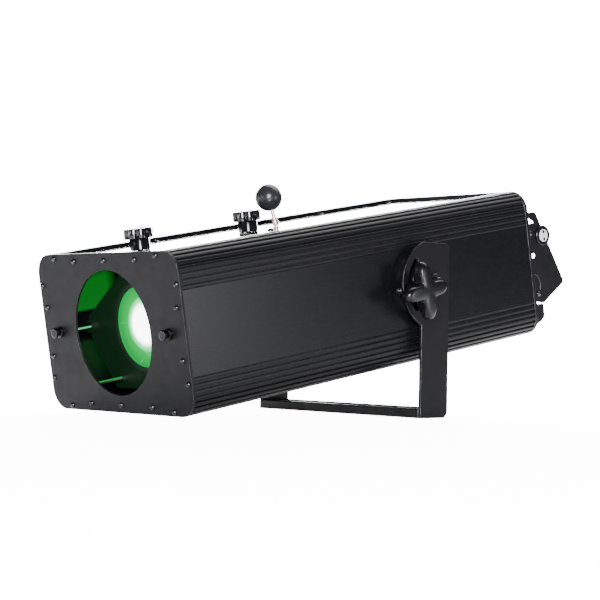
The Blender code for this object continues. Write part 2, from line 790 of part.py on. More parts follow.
def make_front_plate():
    holes = [circle((0, 0), APERTURE_RADIUS, 48)]
    for side in (-1, 1):
        holes.append(circle((side * UPPER_ROD_X, 0), UPPER_ROD_RADIUS + SEAT_GAP, SMALL_STEPS))
    place = (0, FRONT_PLATE_THICKNESS / 2, 0)
    front = plate("front_plate", end_outline(), FRONT_PLATE_THICKNESS, "Y", housing_datum, place, holes)
    return finish(front, SATIN_BLACK)


def make_rear_plate():
    inlet = rectangle((-SOCKET_X, INLET_Z), INLET_WIDTH + 2 * SEAT_GAP, INLET_HEIGHT + 2 * SEAT_GAP)
    switch_room = SWITCH_DEPTH * sin(SWITCH_SWING / 2) + 2 * SEAT_GAP
    switch = rectangle((-SOCKET_X, SWITCH_Z), SWITCH_WIDTH + 2 * SEAT_GAP, SWITCH_HEIGHT + switch_room)
    holes = [inlet, switch]
    for level in (-1, 1):
        centre = (SOCKET_X, DATA_Z + level * DATA_SOCKET_SPACING / 2)
        holes.append(circle(centre, DATA_SOCKET_RADIUS + SEAT_GAP, MEDIUM_STEPS))
    place = (0, rear_plate_y + REAR_PLATE_THICKNESS / 2, 0)
    rear = plate("rear_plate", end_outline(), REAR_PLATE_THICKNESS, "Y", housing_datum, place, holes)
    return finish(rear, SATIN_BLACK)


# Pivot and tilt lock

def make_trunnion(name, side):
    """The plate inside the side panel, with the pivot's boss and the lock's stud welded to it."""
    outline = filleted(rectangle((0, 0), TRUNNION_LENGTH, TRUNNION_HEIGHT), TRUNNION_ROUND, 4)
    plate_x = side_inner_x - SEAT_GAP - CORNER_WALL / 2
    place = (side * plate_x, PIVOT_FROM_FRONT, 0)
    trunnion = plate(name, outline, CORNER_WALL, "X", housing_datum, place)
    outer = arm_inner_x - SEAT_GAP - plate_x
    tip = arm_outer_x + SEAT_GAP + LOCK_KNOB_BOSS_HEIGHT + LOCK_KNOB_THICKNESS / 2 - plate_x
    ends = sorted((0, side * outer))
    boss = rod(name + "_boss", PIVOT_BOSS_RADIUS, *ends, "X", trunnion, (0, 0, 0), MEDIUM_STEPS, cutters)
    stud_place = (0, lock_y - PIVOT_FROM_FRONT, lock_z)
    shoulder = rod(
        name + "_shoulder", LOCK_SHOULDER_RADIUS, *ends, "X", trunnion, stud_place, SMALL_STEPS, cutters
    )
    ends = sorted((0, side * tip))
    stud = rod(name + "_stud", LOCK_STUD_RADIUS, *ends, "X", trunnion, stud_place, SMALL_STEPS, cutters)
    ends = sorted((-side * 2 * CORNER_WALL, side * 2 * outer))
    bore_radius = PIVOT_BOLT_RADIUS + SEAT_GAP
    bore = rod(name + "_bore", bore_radius, *ends, "X", trunnion, (0, 0, 0), SMALL_STEPS, cutters)
    unite(trunnion, boss)
    unite(trunnion, shoulder)
    unite(trunnion, stud)
    cut(trunnion, bore)
    return finish(trunnion, STEEL)


def make_pivot_bolt(name, side):
    """The bolt through the arm: shank, washer face and head."""
    seat = arm_outer_x + SEAT_GAP
    washer = seat + PIVOT_WASHER_THICKNESS
    head = washer + PIVOT_BOLT_HEAD_HEIGHT
    tip = side_inner_x - SEAT_GAP - CORNER_WALL
    profile = [
        (0, head),
        (PIVOT_BOLT_HEAD_RADIUS, head),
        (PIVOT_BOLT_HEAD_RADIUS, washer),
        (PIVOT_WASHER_RADIUS, washer),
        (PIVOT_WASHER_RADIUS, seat),
        (PIVOT_BOLT_RADIUS, seat),
        (PIVOT_BOLT_RADIUS, tip),
        (0, tip),
    ]
    if side < 0:
        profile = [(radius, -along) for radius, along in reversed(profile)]
    bolt = turned(name, profile, "X", housing_datum, (0, PIVOT_FROM_FRONT, 0), SMALL_STEPS)
    return finish(bolt, DARK_STEEL)


def lock_knob_outline(steps=40):
    """Four round lobes with waists between them."""
    points = []
    for step in range(steps):
        angle = tau * step / steps
        swell = ((1 + cos(LOCK_KNOB_LOBES * angle)) / 2) ** LOCK_KNOB_LOBE_POWER
        radius = LOCK_KNOB_WAIST + (LOCK_KNOB_RADIUS - LOCK_KNOB_WAIST) * swell
        points.append((radius * cos(angle), radius * sin(angle)))
    return points


def make_lock_knob(name, side):
    boss_seat = arm_outer_x + SEAT_GAP
    grip = boss_seat + LOCK_KNOB_BOSS_HEIGHT
    centre = grip + LOCK_KNOB_THICKNESS / 2
    place = (side * centre, lock_y, lock_z)
    knob = plate(name, lock_knob_outline(), LOCK_KNOB_THICKNESS, "X", housing_datum, place)
    bevelled(knob, LOCK_KNOB_EDGE, 1)
    ends = sorted((side * (boss_seat - centre), 0))
    boss = rod(name + "_boss", LOCK_KNOB_BOSS_RADIUS, *ends, "X", knob, (0, 0, 0), MEDIUM_STEPS, cutters)
    ends = sorted((side * (boss_seat - centre - LOCK_KNOB_BOSS_HEIGHT), side * SEAT_GAP))
    bore = rod(name + "_bore", LOCK_STUD_RADIUS + SEAT_GAP, *ends, "X", knob, (0, 0, 0), SMALL_STEPS, cutters)
    unite(knob, boss)
    cut(knob, bore)
    return finish(knob, GLOSS_BLACK)


# Guide rods

def make_upper_rod(name, side):
    """A guide rod with the spool-shaped end that stands out of the front plate."""
    neck_start = SPOOL_FLANGE_LENGTH + SPOOL_SLOPE
    profile = [
        (0, gate_back),
        (UPPER_ROD_RADIUS, gate_back),
        (UPPER_ROD_RADIUS, -SEAT_GAP),
        (SPOOL_RADIUS, -SEAT_GAP),
        (SPOOL_RADIUS, SPOOL_SLOPE - neck_start),
        (SPOOL_NECK_RADIUS, -neck_start),
        (SPOOL_NECK_RADIUS, -neck_start - SPOOL_NECK_LENGTH),
        (SPOOL_CAP_RADIUS, -neck_start - SPOOL_NECK_LENGTH - SPOOL_SLOPE),
        (SPOOL_CAP_RADIUS, SPOOL_SLOPE - SPOOL_LENGTH),
        (SPOOL_CAP_RADIUS - SPOOL_SLOPE, -SPOOL_LENGTH),
        (0, -SPOOL_LENGTH),
    ]
    made = turned(name, profile, "Y", housing_datum, (side * UPPER_ROD_X, 0, 0), SMALL_STEPS)
    return finish(made, DARK_STEEL)


def make_lower_rod(name, side):
    place = (side * LOWER_ROD_X, 0, -LOWER_ROD_DROP)
    made = rod(name, LOWER_ROD_RADIUS, shell_front, gate_back, "Y", housing_datum, place, SMALL_STEPS)
    return finish(made, STEEL)


# Lens carriages

def carriage_outline():
    edge = BEARING_RADIUS + CARRIAGE_EDGE
    shoulder = LENS_RADIUS + CELL_WALL + CARRIAGE_SHOULDER
    right = [
        (LOWER_ROD_X + edge, -LOWER_ROD_DROP - edge),
        (UPPER_ROD_X + edge, -edge),
        (UPPER_ROD_X + edge, edge),
        (shoulder, shoulder * CARRIAGE_SHOULDER_RATIO),
        (CARRIAGE_TOP_WIDTH / 2, CARRIAGE_TOP),
    ]
    left = [(-x, z) for x, z in reversed(right)]
    return filleted(right + left, CARRIAGE_ROUND, 3)


def make_carriage(name, rest_y):
    """The plate that slides on the four rods and holds the lens cell, with a stem up through the slot."""
    cell_hole = LENS_RADIUS + CELL_WALL / 2
    holes = [circle((0, 0), cell_hole)]
    for side in (-1, 1):
        holes.append(circle((side * UPPER_ROD_X, 0), (BEARING_RADIUS + UPPER_ROD_RADIUS) / 2, TINY_STEPS))
        holes.append(circle((side * LOWER_ROD_X, -LOWER_ROD_DROP), LOWER_ROD_RADIUS + RUN_GAP, TINY_STEPS))
    carriage = plate(name, carriage_outline(), CARRIAGE_THICKNESS, "Y", housing_datum, (0, rest_y, 0), holes)
    back = CARRIAGE_THICKNESS / 2 - CELL_SETBACK
    front = back - CELL_LENGTH
    outer = LENS_RADIUS + CELL_WALL
    bore = LENS_RADIUS + SEAT_GAP
    cell_profile = [
        (outer, back),
        (outer, front),
        (LENS_RADIUS - CELL_LIP, front),
        (LENS_RADIUS - CELL_LIP, front + CELL_LIP),
        (bore, front + CELL_LIP),
        (bore, back),
    ]
    for side in (-1, 1):
        bearing_profile = [
            (BEARING_RADIUS, BEARING_LENGTH / 2),
            (BEARING_RADIUS, -BEARING_LENGTH / 2),
            (UPPER_ROD_RADIUS + RUN_GAP, -BEARING_LENGTH / 2),
            (UPPER_ROD_RADIUS + RUN_GAP, BEARING_LENGTH / 2),
        ]
        place = (side * UPPER_ROD_X, 0, 0)
        tool = name + f"_bearing_{side}"
        unite(carriage, turned(tool, bearing_profile, "Y", carriage, place, SMALL_STEPS, True, cutters))
    cell = turned(name + "_cell", cell_profile, "Y", carriage, (0, 0, 0), LARGE_STEPS, True, cutters)
    unite(carriage, cell)
    stem_top = top_face_z + FOCUS_STEM_ENGAGEMENT
    stem_ends = (CARRIAGE_TOP - FOCUS_STEM_ROOT, stem_top)
    stem = rod(name + "_stem", FOCUS_STEM_RADIUS, *stem_ends, "Z", carriage, (0, 0, 0), TINY_STEPS, cutters)
    unite(carriage, stem)
    return finish(carriage, DARK_STEEL)


def make_lens(name, rest_y):
    """A plano-convex lens seated behind its cell's lip, with the crown forwards."""
    seat = CARRIAGE_THICKNESS / 2 - CELL_SETBACK - CELL_LENGTH + CELL_LIP + SEAT_GAP
    visible = LENS_RADIUS - CELL_LIP - SEAT_GAP
    back = seat + LENS_EDGE
    profile = [(0, back), (LENS_RADIUS, back), (LENS_RADIUS, seat)]
    rings = 6
    for step in range(rings + 1):
        radius = visible * cos(pi / 2 * step / rings)
        profile.append((radius, seat - LENS_CROWN * (1 - (radius / visible) ** 2)))
    profile[-1] = (0, seat - LENS_CROWN)
    lens = turned(name, profile, "Y", housing_datum, (0, rest_y, 0), LARGE_STEPS)
    return finish(lens, GLASS)


def make_focus_knob(name, rest_y):
    base = top_face_z + SEAT_GAP
    head_z = base + FOCUS_KNOB_COLLAR_HEIGHT + FOCUS_KNOB_HEAD_HEIGHT / 2
    steps = 4 * FOCUS_KNOB_SCALLOPS
    outline = []
    for step in range(steps):
        angle = tau * step / steps
        dip = 1 - abs(sin(FOCUS_KNOB_SCALLOPS * angle / 2))
        radius = FOCUS_KNOB_RADIUS - FOCUS_KNOB_SCALLOP_DEPTH * dip
        outline.append((radius * cos(angle), radius * sin(angle)))
    knob = plate(name, outline, FOCUS_KNOB_HEAD_HEIGHT, "Z", housing_datum, (0, rest_y, head_z))
    bevelled(knob, FOCUS_KNOB_EDGE, 1, radians(60))
    ends = (base - head_z, 0)
    collar = rod(
        name + "_collar", FOCUS_KNOB_COLLAR_RADIUS, *ends, "Z", knob, (0, 0, 0), MEDIUM_STEPS, cutters
    )
    bore_top = top_face_z + FOCUS_STEM_ENGAGEMENT + SEAT_GAP - head_z
    bore_bottom = base - head_z - FOCUS_KNOB_COLLAR_HEIGHT / 2
    ends = (bore_bottom, bore_top)
    bore = rod(
        name + "_bore", FOCUS_STEM_RADIUS + SEAT_GAP, *ends, "Z", knob, (0, 0, 0), TINY_STEPS, cutters
    )
    unite(knob, collar)
    cut(knob, bore)
    return finish(knob, GLOSS_BLACK)


# Gate and iris

def bay_outline():
    """What fits the housing's inside from wall to wall."""
    corner = CORNER_RADIUS - (half_height - bay_half_height) + BAY_ROUND_EXTRA
    return filleted(rectangle((0, 0), 2 * bay_x, 2 * bay_z), corner, 5)


def make_gate():
    """The bulkhead that ends the guide rods and carries the iris, inside a cup with a notch for the lever."""
    pin_hole = IRIS_PIN_RADIUS + SEAT_GAP
    holes = [circle((0, 0), IRIS_APERTURE_RADIUS)]
    for blade in range(IRIS_BLADE_COUNT):
        angle = tau * blade / IRIS_BLADE_COUNT
        centre = (IRIS_PIN_CIRCLE * cos(angle), IRIS_PIN_CIRCLE * sin(angle))
        holes.append(circle(centre, pin_hole, TINY_STEPS))
    for side in (-1, 1):
        holes.append(circle((side * UPPER_ROD_X, 0), UPPER_ROD_RADIUS + SEAT_GAP, SMALL_STEPS))
        holes.append(circle((side * LOWER_ROD_X, -LOWER_ROD_DROP), LOWER_ROD_RADIUS + SEAT_GAP, SMALL_STEPS))
    place = (0, gate_y + GATE_THICKNESS / 2, 0)
    gate = plate("gate_plate", bay_outline(), GATE_THICKNESS, "Y", housing_datum, place, holes)
    cup_front = LEVER_Y - IRIS_RING_THICKNESS / 2 - IRIS_CUP_OVERHANG - gate_y - GATE_THICKNESS / 2
    cup_profile = [
        (IRIS_CUP_RADIUS, 0),
        (IRIS_CUP_RADIUS, cup_front),
        (IRIS_CUP_RADIUS - IRIS_CUP_WALL, cup_front),
        (IRIS_CUP_RADIUS - IRIS_CUP_WALL, 0),
    ]
    unite(gate, turned("iris_cup", cup_profile, "Y", gate, (0, 0, 0), LARGE_STEPS, True, cutters))
    middle = LEVER_LEAN + LEVER_SWING / 2
    notch_half = IRIS_CUP_RADIUS * sin(LEVER_SWING / 2) + 2 * LEVER_ROD_RADIUS
    notch_front = cup_front - IRIS_CUP_WALL
    notch_back = -GATE_THICKNESS / 2 - RUN_GAP
    notch_size = (2 * notch_half, notch_back - notch_front, IRIS_CUP_RADIUS / 2)
    notch_y = (notch_front + notch_back) / 2
    notch_place = (IRIS_CUP_RADIUS * sin(middle), notch_y, IRIS_CUP_RADIUS * cos(middle))
    cut(gate, block("lever_notch", notch_size, gate, notch_place, (0, middle, 0), cutters))
    return finish(gate, DARK_STEEL)

def make_lever(axis):
    """The ring that turns the blades, with the lever's rod and its collar above the top panel."""
    inner = IRIS_APERTURE_RADIUS + IRIS_RING_STEP
    outer = IRIS_CUP_RADIUS - IRIS_CUP_WALL - RUN_GAP
    window = circle((0, 0), inner)
    lever = plate("iris_lever", circle((0, 0), outer), IRIS_RING_THICKNESS, "Y", axis, holes=[window])
    rod_start = IRIS_PIN_CIRCLE + IRIS_PIN_RADIUS + BLADE_PIN_CLEARANCE + 2 * RUN_GAP
    rod_end = BALL_CENTRE - BALL_RADIUS + BALL_ENGAGEMENT
    steepest = max(abs(LEVER_LEAN), abs(LEVER_LEAN + LEVER_SWING))
    collar_start = (top_face_z + SEAT_GAP + LEVER_COLLAR_RADIUS * sin(steepest)) / cos(steepest) + SEAT_GAP
    ends = (rod_start, rod_end)
    unite(lever, rod("lever_rod", LEVER_ROD_RADIUS, *ends, "Z", lever, (0, 0, 0), TINY_STEPS, cutters))
    ends = (collar_start, collar_start + LEVER_COLLAR_HEIGHT)
    collar = rod("lever_collar", LEVER_COLLAR_RADIUS, *ends, "Z", lever, (0, 0, 0), MEDIUM_STEPS, cutters)
    unite(lever, collar)
    return finish(lever, STEEL)


def make_ball(axis):
    bore = LEVER_ROD_RADIUS + SEAT_GAP
    profile = arc((0, 0), BALL_RADIUS, pi / 2, -acos(bore / BALL_RADIUS), 10)
    profile[0] = (0, BALL_RADIUS)
    top_of_bore = -BALL_RADIUS + BALL_ENGAGEMENT + SEAT_GAP
    profile += [(bore, top_of_bore), (0, top_of_bore)]
    return finish(turned("lever_ball", profile, "Z", axis, (0, 0, BALL_CENTRE), MEDIUM_STEPS), GLOSS_BLACK)


def blade_outline(angle):
    """A blade that hides behind the ring when the iris is open, drawn from its own pin."""
    pin = (IRIS_PIN_CIRCLE * cos(angle), IRIS_PIN_CIRCLE * sin(angle))
    inner_radius = IRIS_APERTURE_RADIUS + BLADE_COVER
    outer_radius = IRIS_PIN_CIRCLE - IRIS_PIN_RADIUS - BLADE_PIN_CLEARANCE
    tab_radius = IRIS_PIN_RADIUS + BLADE_PIN_CLEARANCE
    tab_half = asin(tab_radius / IRIS_PIN_CIRCLE)
    inner = arc((0, 0), inner_radius, angle + BLADE_SPAN, angle - BLADE_TAIL, 10)
    tail = arc((0, 0), outer_radius, angle - BLADE_TAIL, angle - tab_half, 2)
    tab = arc(pin, tab_radius, angle - pi / 2, angle + pi / 2, 6)
    outer = arc((0, 0), outer_radius, angle + tab_half, angle + BLADE_SPAN, 9)
    return [(x - pin[0], z - pin[1]) for x, z in inner + tail + tab + outer]


def make_blade(index):
    angle = tau * index / IRIS_BLADE_COUNT
    depth = gate_y - BLADE_GAP - BLADE_THICKNESS / 2 - index * (BLADE_THICKNESS + BLADE_GAP)
    place = (IRIS_PIN_CIRCLE * cos(angle), depth, IRIS_PIN_CIRCLE * sin(angle))
    name = f"iris_blade_{index + 1}"
    blade = plate(name, blade_outline(angle), BLADE_THICKNESS, "Y", housing_datum, place)
    pin_end = gate_y + GATE_THICKNESS * BLADE_PIN_RATIO - depth
    unite(blade, rod(name + "_pin", IRIS_PIN_RADIUS, 0, pin_end, "Y", blade, (0, 0, 0), TINY_STEPS, cutters))
    return finish(blade, DARK_STEEL)


# Colour wheel

motor_y = gate_back + SEAT_GAP
wheel_y = motor_y + MOTOR_LENGTH + WHEEL_FROM_MOTOR
flange_y = wheel_y + 2 * SEAT_GAP + COLOUR_GLASS_THICKNESS
hub_back = flange_y + WHEEL_FLANGE_THICKNESS


def make_motor():
    place = (-WHEEL_OFFSET, motor_y + MOTOR_LENGTH / 2, 0)
    motor = block("colour_motor", (MOTOR_WIDTH, MOTOR_LENGTH, MOTOR_WIDTH), housing_datum, place)
    bevelled(motor, MOTOR_EDGE, 1)
    ends = (0, hub_back - motor_y - MOTOR_LENGTH / 2)
    unite(motor, rod("motor_shaft", WHEEL_SHAFT_RADIUS, *ends, "Y", motor, (0, 0, 0), SMALL_STEPS, cutters))
    return finish(motor, BLACK_METAL)


def make_wheel_hub(axis):
    bore = WHEEL_SHAFT_RADIUS + SEAT_GAP
    profile = [
        (WHEEL_FLANGE_RADIUS, hub_back - wheel_y),
        (WHEEL_FLANGE_RADIUS, flange_y - wheel_y),
        (WHEEL_HUB_RADIUS, flange_y - wheel_y),
        (WHEEL_HUB_RADIUS, 0),
        (bore, 0),
        (bore, hub_back - wheel_y),
    ]
    return finish(turned("colour_wheel_hub", profile, "Y", axis, (0, 0, 0), MEDIUM_STEPS, True), ALUMINIUM)


def make_colour_glass(axis):
    outline = circle((0, 0), WHEEL_RADIUS)
    hole = circle((0, 0), WHEEL_HUB_RADIUS + SEAT_GAP, MEDIUM_STEPS)
    place = (0, flange_y - SEAT_GAP - COLOUR_GLASS_THICKNESS / 2 - wheel_y, 0)
    glass = plate("colour_glass", outline, COLOUR_GLASS_THICKNESS, "Y", axis, place, [hole])
    return finish(glass, GREEN_GLASS)


# Lamp and cooling

def make_lamp():
    """The lamp's board, with the optic that gathers its light, on the heat sink's face."""
    board_y = LAMP_Y - SEAT_GAP - LAMP_BOARD_THICKNESS / 2
    board = plate(
        "lamp_module",
        filleted(rectangle((0, 0), LAMP_BOARD_SIZE, LAMP_BOARD_SIZE), LAMP_BOARD_ROUND, 3),
        LAMP_BOARD_THICKNESS,
        "Y",
        housing_datum,
        (0, board_y, 0),
    )
    front = -LAMP_BOARD_THICKNESS / 2 - OPTIC_LENGTH
    profile = [
        (0, 0),
        (OPTIC_BACK_RADIUS, 0),
        (OPTIC_BACK_RADIUS, -OPTIC_COLLAR_LENGTH),
        (OPTIC_FRONT_RADIUS, front + OPTIC_DOME_HEIGHT),
        (OPTIC_DOME_RADIUS, front + OPTIC_DOME_FLAT),
        (0, front),
    ]
    unite(board, turned("lamp_optic", profile, "Y", board, (0, 0, 0), MEDIUM_STEPS, False, cutters))
    return finish(board, GREY_PLASTIC)


def make_heat_sink():
    base_back = LAMP_Y + HEAT_SINK_BASE
    fin_back = base_back + HEAT_SINK_DEPTH
    outline = [(bay_x, LAMP_Y), (bay_x, base_back)]
    first = FIN_PITCH * (FIN_COUNT - 1) / 2
    for fin in range(FIN_COUNT):
        x = first - fin * FIN_PITCH
        outline += [(x + FIN_THICKNESS / 2, base_back), (x + FIN_THICKNESS / 2, fin_back)]
        outline += [(x - FIN_THICKNESS / 2, fin_back), (x - FIN_THICKNESS / 2, base_back)]
    outline += [(-bay_x, base_back), (-bay_x, LAMP_Y)]
    return finish(plate("heat_sink", outline, HEAT_SINK_HEIGHT, "Z", housing_datum), ALUMINIUM)


fan_front = LAMP_Y + HEAT_SINK_BASE + HEAT_SINK_DEPTH + SEAT_GAP


def make_fan_frame():
    outline = filleted(rectangle((0, 0), FAN_WIDTH, FAN_WIDTH), FAN_ROUND, 3)
    place = (0, fan_front + FAN_DEPTH / 2, 0)
    duct = circle((0, 0), FAN_DUCT_RADIUS)
    frame = plate("fan_frame", outline, FAN_DEPTH, "Y", housing_datum, place, [duct])
    strut_y = FAN_DEPTH / 2 - FAN_STRUT_DEPTH / 2
    strut_length = 2 * (FAN_DUCT_RADIUS + FAN_STRUT_ROOT)
    for index, turn in enumerate((pi / 4, -pi / 4)):
        size = (strut_length, FAN_STRUT_DEPTH, FAN_STRUT_WIDTH)
        unite(frame, block(f"fan_strut_{index}", size, frame, (0, strut_y, 0), (0, turn, 0), cutters))
    ends = (FAN_DEPTH / 2 - FAN_STRUT_DEPTH, FAN_DEPTH / 2)
    unite(frame, rod("fan_hub_seat", FAN_HUB_RADIUS, *ends, "Y", frame, (0, 0, 0), SMALL_STEPS, cutters))
    return finish(frame, PLASTIC)


def make_fan_rotor():
    depth = FAN_DEPTH - FAN_STRUT_DEPTH - 2 * RUN_GAP
    place = (0, fan_front + RUN_GAP + depth / 2, 0)
    rotor = plate("fan_rotor", circle((0, 0), FAN_HUB_RADIUS, MEDIUM_STEPS), depth, "Y", housing_datum, place)
    root = FAN_HUB_RADIUS - FAN_BLADE_ROOT
    tip = FAN_DUCT_RADIUS - FAN_TIP_GAP
    middle = (root + tip) / 2
    size = (tip - root, FAN_BLADE_THICKNESS, FAN_BLADE_CHORD)
    for blade in range(FAN_BLADE_COUNT):
        angle = tau * blade / FAN_BLADE_COUNT
        where = (middle * cos(angle), 0, -middle * sin(angle))
        unite(rotor, block(f"fan_blade_{blade}", size, rotor, where, (FAN_BLADE_PITCH, angle, 0), cutters))
    return finish(rotor, PLASTIC)


def make_power_supply():
    front = fan_front + FAN_DEPTH + SUPPLY_FRONT_CLEARANCE
    length = shell_back - SUPPLY_BACK_CLEARANCE - front
    size = (SUPPLY_WIDTH, length, SUPPLY_HEIGHT)
    place = (0, front + length / 2, -panel_under_z + SEAT_GAP + SUPPLY_HEIGHT / 2)
    return finish(bevelled(block("power_supply", size, housing_datum, place), SUPPLY_EDGE, 1), ALUMINIUM)


# Rear cheeks, handle and console

def handle_ear():
    """The round of the cheek's sloping edge that goes out about the handle."""
    shoulder = (rear_face + CHEEK_SHOULDER_DEPTH, cheek_top - CHEEK_SHOULDER_DROP)
    centre = (rear_face + HANDLE_DEPTH, HANDLE_Z)
    away = (centre[0] - shoulder[0], centre[1] - shoulder[1])
    along = (slope_y / slope_length, -slope_z / slope_length)
    reach = away[0] * along[0] + away[1] * along[1]
    offset = abs(away[0] * along[1] - away[1] * along[0])
    half_chord = (HANDLE_EAR_RADIUS**2 - offset**2) ** 0.5
    angles = []
    for run in (reach - half_chord, reach + half_chord):
        point = (shoulder[0] + along[0] * run, shoulder[1] + along[1] * run)
        angles.append(atan2(point[1] - centre[1], point[0] - centre[0]))
    return arc(centre, HANDLE_EAR_RADIUS, angles[0], angles[1], 10)


def make_cheek(name, side):
    back = rear_face + SEAT_GAP
    ear = handle_ear()
    ear_rounds = [0] * len(ear)
    below_rounds = [CHEEK_TIP_ROUND, CHEEK_KEEL_ROUND, CHEEK_BACK_ROUND]
    outline = filleted(
        [
            (back, cheek_top),
            (rear_face + CHEEK_SHOULDER_DEPTH, cheek_top - CHEEK_SHOULDER_DROP),
            *ear,
            (rear_face + CHEEK_TIP_DEPTH, cheek_tip_z),
            (rear_face + CHEEK_KEEL_DEPTH, cheek_keel_z),
            (back, cheek_keel_z + CHEEK_BACK_RISE),
        ],
        [CHEEK_BACK_ROUND, CHEEK_SHOULDER_ROUND, *ear_rounds, *below_rounds],
        4,
    )
    window = filleted(
        [
            (rear_face + CHEEK_WINDOW_START, cheek_window_top),
            (rear_face + CHEEK_WINDOW_SHOULDER, cheek_window_top),
            (rear_face + CHEEK_WINDOW_END, cheek_window_top - CHEEK_WINDOW_HEIGHT),
            (rear_face + CHEEK_WINDOW_START, cheek_window_top - CHEEK_WINDOW_HEIGHT),
        ],
        CHEEK_WINDOW_ROUND,
        3,
    )
    slot_start = (rear_face + CHEEK_SLOT_START + CHEEK_SLOT_WIDTH / 2, CHEEK_SLOT_Z)
    slot_end = (rear_face + CHEEK_SLOT_END - CHEEK_SLOT_WIDTH / 2, CHEEK_SLOT_Z)
    slot = slot_outline(slot_start, slot_end, CHEEK_SLOT_WIDTH, 5)
    handle = circle((rear_face + HANDLE_DEPTH, HANDLE_Z), HANDLE_RADIUS + SEAT_GAP, MEDIUM_STEPS)
    place = (side * (CHEEK_X + CHEEK_THICKNESS / 2), 0, 0)
    cheek = plate(name, outline, CHEEK_THICKNESS, "X", housing_datum, place, [window, slot, handle])
    return finish(cheek, SATIN_BLACK)


def make_handle():
    cap_start = CHEEK_X + CHEEK_THICKNESS + SEAT_GAP
    cap_end = cap_start + HANDLE_CAP_LENGTH
    profile = [
        (0, cap_end),
        (HANDLE_CAP_RADIUS, cap_end),
        (HANDLE_CAP_RADIUS, cap_start),
        (HANDLE_RADIUS, cap_start),
        (HANDLE_RADIUS, -cap_start),
        (HANDLE_CAP_RADIUS, -cap_start),
        (HANDLE_CAP_RADIUS, -cap_end),
        (0, -cap_end),
    ]
    place = (0, rear_face + HANDLE_DEPTH, HANDLE_Z)
    return finish(turned("handle_bar", profile, "X", housing_datum, place, MEDIUM_STEPS), GREY_PLASTIC)


def console_face_depth(z):
    """How far behind the rear plate the console's sloping face is at a height."""
    cheek_depth = CHEEK_SHOULDER_DEPTH + (cheek_top - CHEEK_SHOULDER_DROP - z) * slope_y / slope_z
    return cheek_depth - CONSOLE_EDGE_INSET / face_normal[0]


def inset(corners, distance):
    """The corners of a convex outline, given clockwise, with every side moved in."""
    moved = []
    count = len(corners)
    for index in range(count):
        before, here, after = corners[index - 1], corners[index], corners[(index + 1) % count]
        first = (here[0] - before[0], here[1] - before[1])
        second = (after[0] - here[0], after[1] - here[1])
        first_length = hypot(*first)
        second_length = hypot(*second)
        first_in = (first[1] / first_length, -first[0] / first_length)
        second_in = (second[1] / second_length, -second[0] / second_length)
        share = 1 + first_in[0] * second_in[0] + first_in[1] * second_in[1]
        moved.append(
            (
                here[0] + distance * (first_in[0] + second_in[0]) / share,
                here[1] + distance * (first_in[1] + second_in[1]) / share,
            )
        )
    return moved


def hollowed(made, name, corners, half_width_inside, wall):
    """Opens a folded box from its front, which the rear plate closes."""
    inner = inset(corners, wall)
    front = min(y for y, _ in corners) - wall
    inner[0] = (front, inner[0][1])
    inner[-1] = (front, inner[-1][1])
    return cut(made, plate(name, inner, 2 * half_width_inside, "X", made, (0, 0, 0), (), cutters))


def make_console():
    back = rear_face + SEAT_GAP
    corners = [
        (back, CONSOLE_TOP),
        (rear_face + console_face_depth(CONSOLE_TOP), CONSOLE_TOP),
        (rear_face + console_face_depth(console_lip_z), console_lip_z),
        (rear_face + CHEEK_KEEL_DEPTH, console_keel_z),
        (back, console_keel_z + CONSOLE_BACK_RISE),
    ]
    outline = filleted(corners, [0, FOLD_ROUND, LIP_ROUND, LIP_ROUND, 0], 3)
    console = plate("console_box", outline, 2 * CONSOLE_HALF_WIDTH, "X", housing_datum)
    hollowed(console, "console_hollow", corners, CONSOLE_HALF_WIDTH - CONSOLE_WALL, CONSOLE_WALL)
    middle_z = (CONSOLE_TOP + console_lip_z) / 2
    middle = (0, rear_face + console_face_depth(middle_z), middle_z)
    turn = (atan2(-face_normal[0], face_normal[1]), 0, 0)
    face = empty("console_face", housing_datum, middle, turn)
    window_size = (WINDOW_LENGTH, WINDOW_WIDTH, 2 * WINDOW_DEPTH)
    window_place = (WINDOW_X, -FACE_ROW_SPACING / 2, 0)
    cut(console, block("window_recess", window_size, face, window_place, (0, 0, 0), cutters))
    hole_ends = (-2 * CONSOLE_WALL, CONSOLE_WALL)
    for button in range(BUTTON_COUNT):
        hole_place = (BUTTON_ROW_X + button * BUTTON_PITCH, FACE_ROW_SPACING / 2, 0)
        name = f"button_hole_{button}"
        hole = rod(name, BUTTON_RADIUS + RUN_GAP, *hole_ends, "Z", face, hole_place, SMALL_STEPS, cutters)
        cut(console, hole)
    for dial in range(2):
        hole_place = (DIAL_X + dial * DIAL_PITCH, 0, 0)
        name = f"dial_hole_{dial}"
        radius = DIAL_SHAFT_RADIUS + RUN_GAP
        cut(console, rod(name, radius, *hole_ends, "Z", face, hole_place, SMALL_STEPS, cutters))
    finish(console, SATIN_BLACK)
    return face


def make_button(index, face):
    under = -CONSOLE_WALL - SEAT_GAP
    profile = [
        (0, BUTTON_HEIGHT),
        (BUTTON_RADIUS - BUTTON_EDGE, BUTTON_HEIGHT),
        (BUTTON_RADIUS, BUTTON_HEIGHT - BUTTON_EDGE),
        (BUTTON_RADIUS, under),
        (BUTTON_FLANGE_RADIUS, under),
        (BUTTON_FLANGE_RADIUS, under - BUTTON_FLANGE_THICKNESS),
        (0, under - BUTTON_FLANGE_THICKNESS),
    ]
    place = (BUTTON_ROW_X + index * BUTTON_PITCH, FACE_ROW_SPACING / 2, 0)
    return finish(turned(f"button_{index + 1}", profile, "Z", face, place, SMALL_STEPS), GREY_PLASTIC)


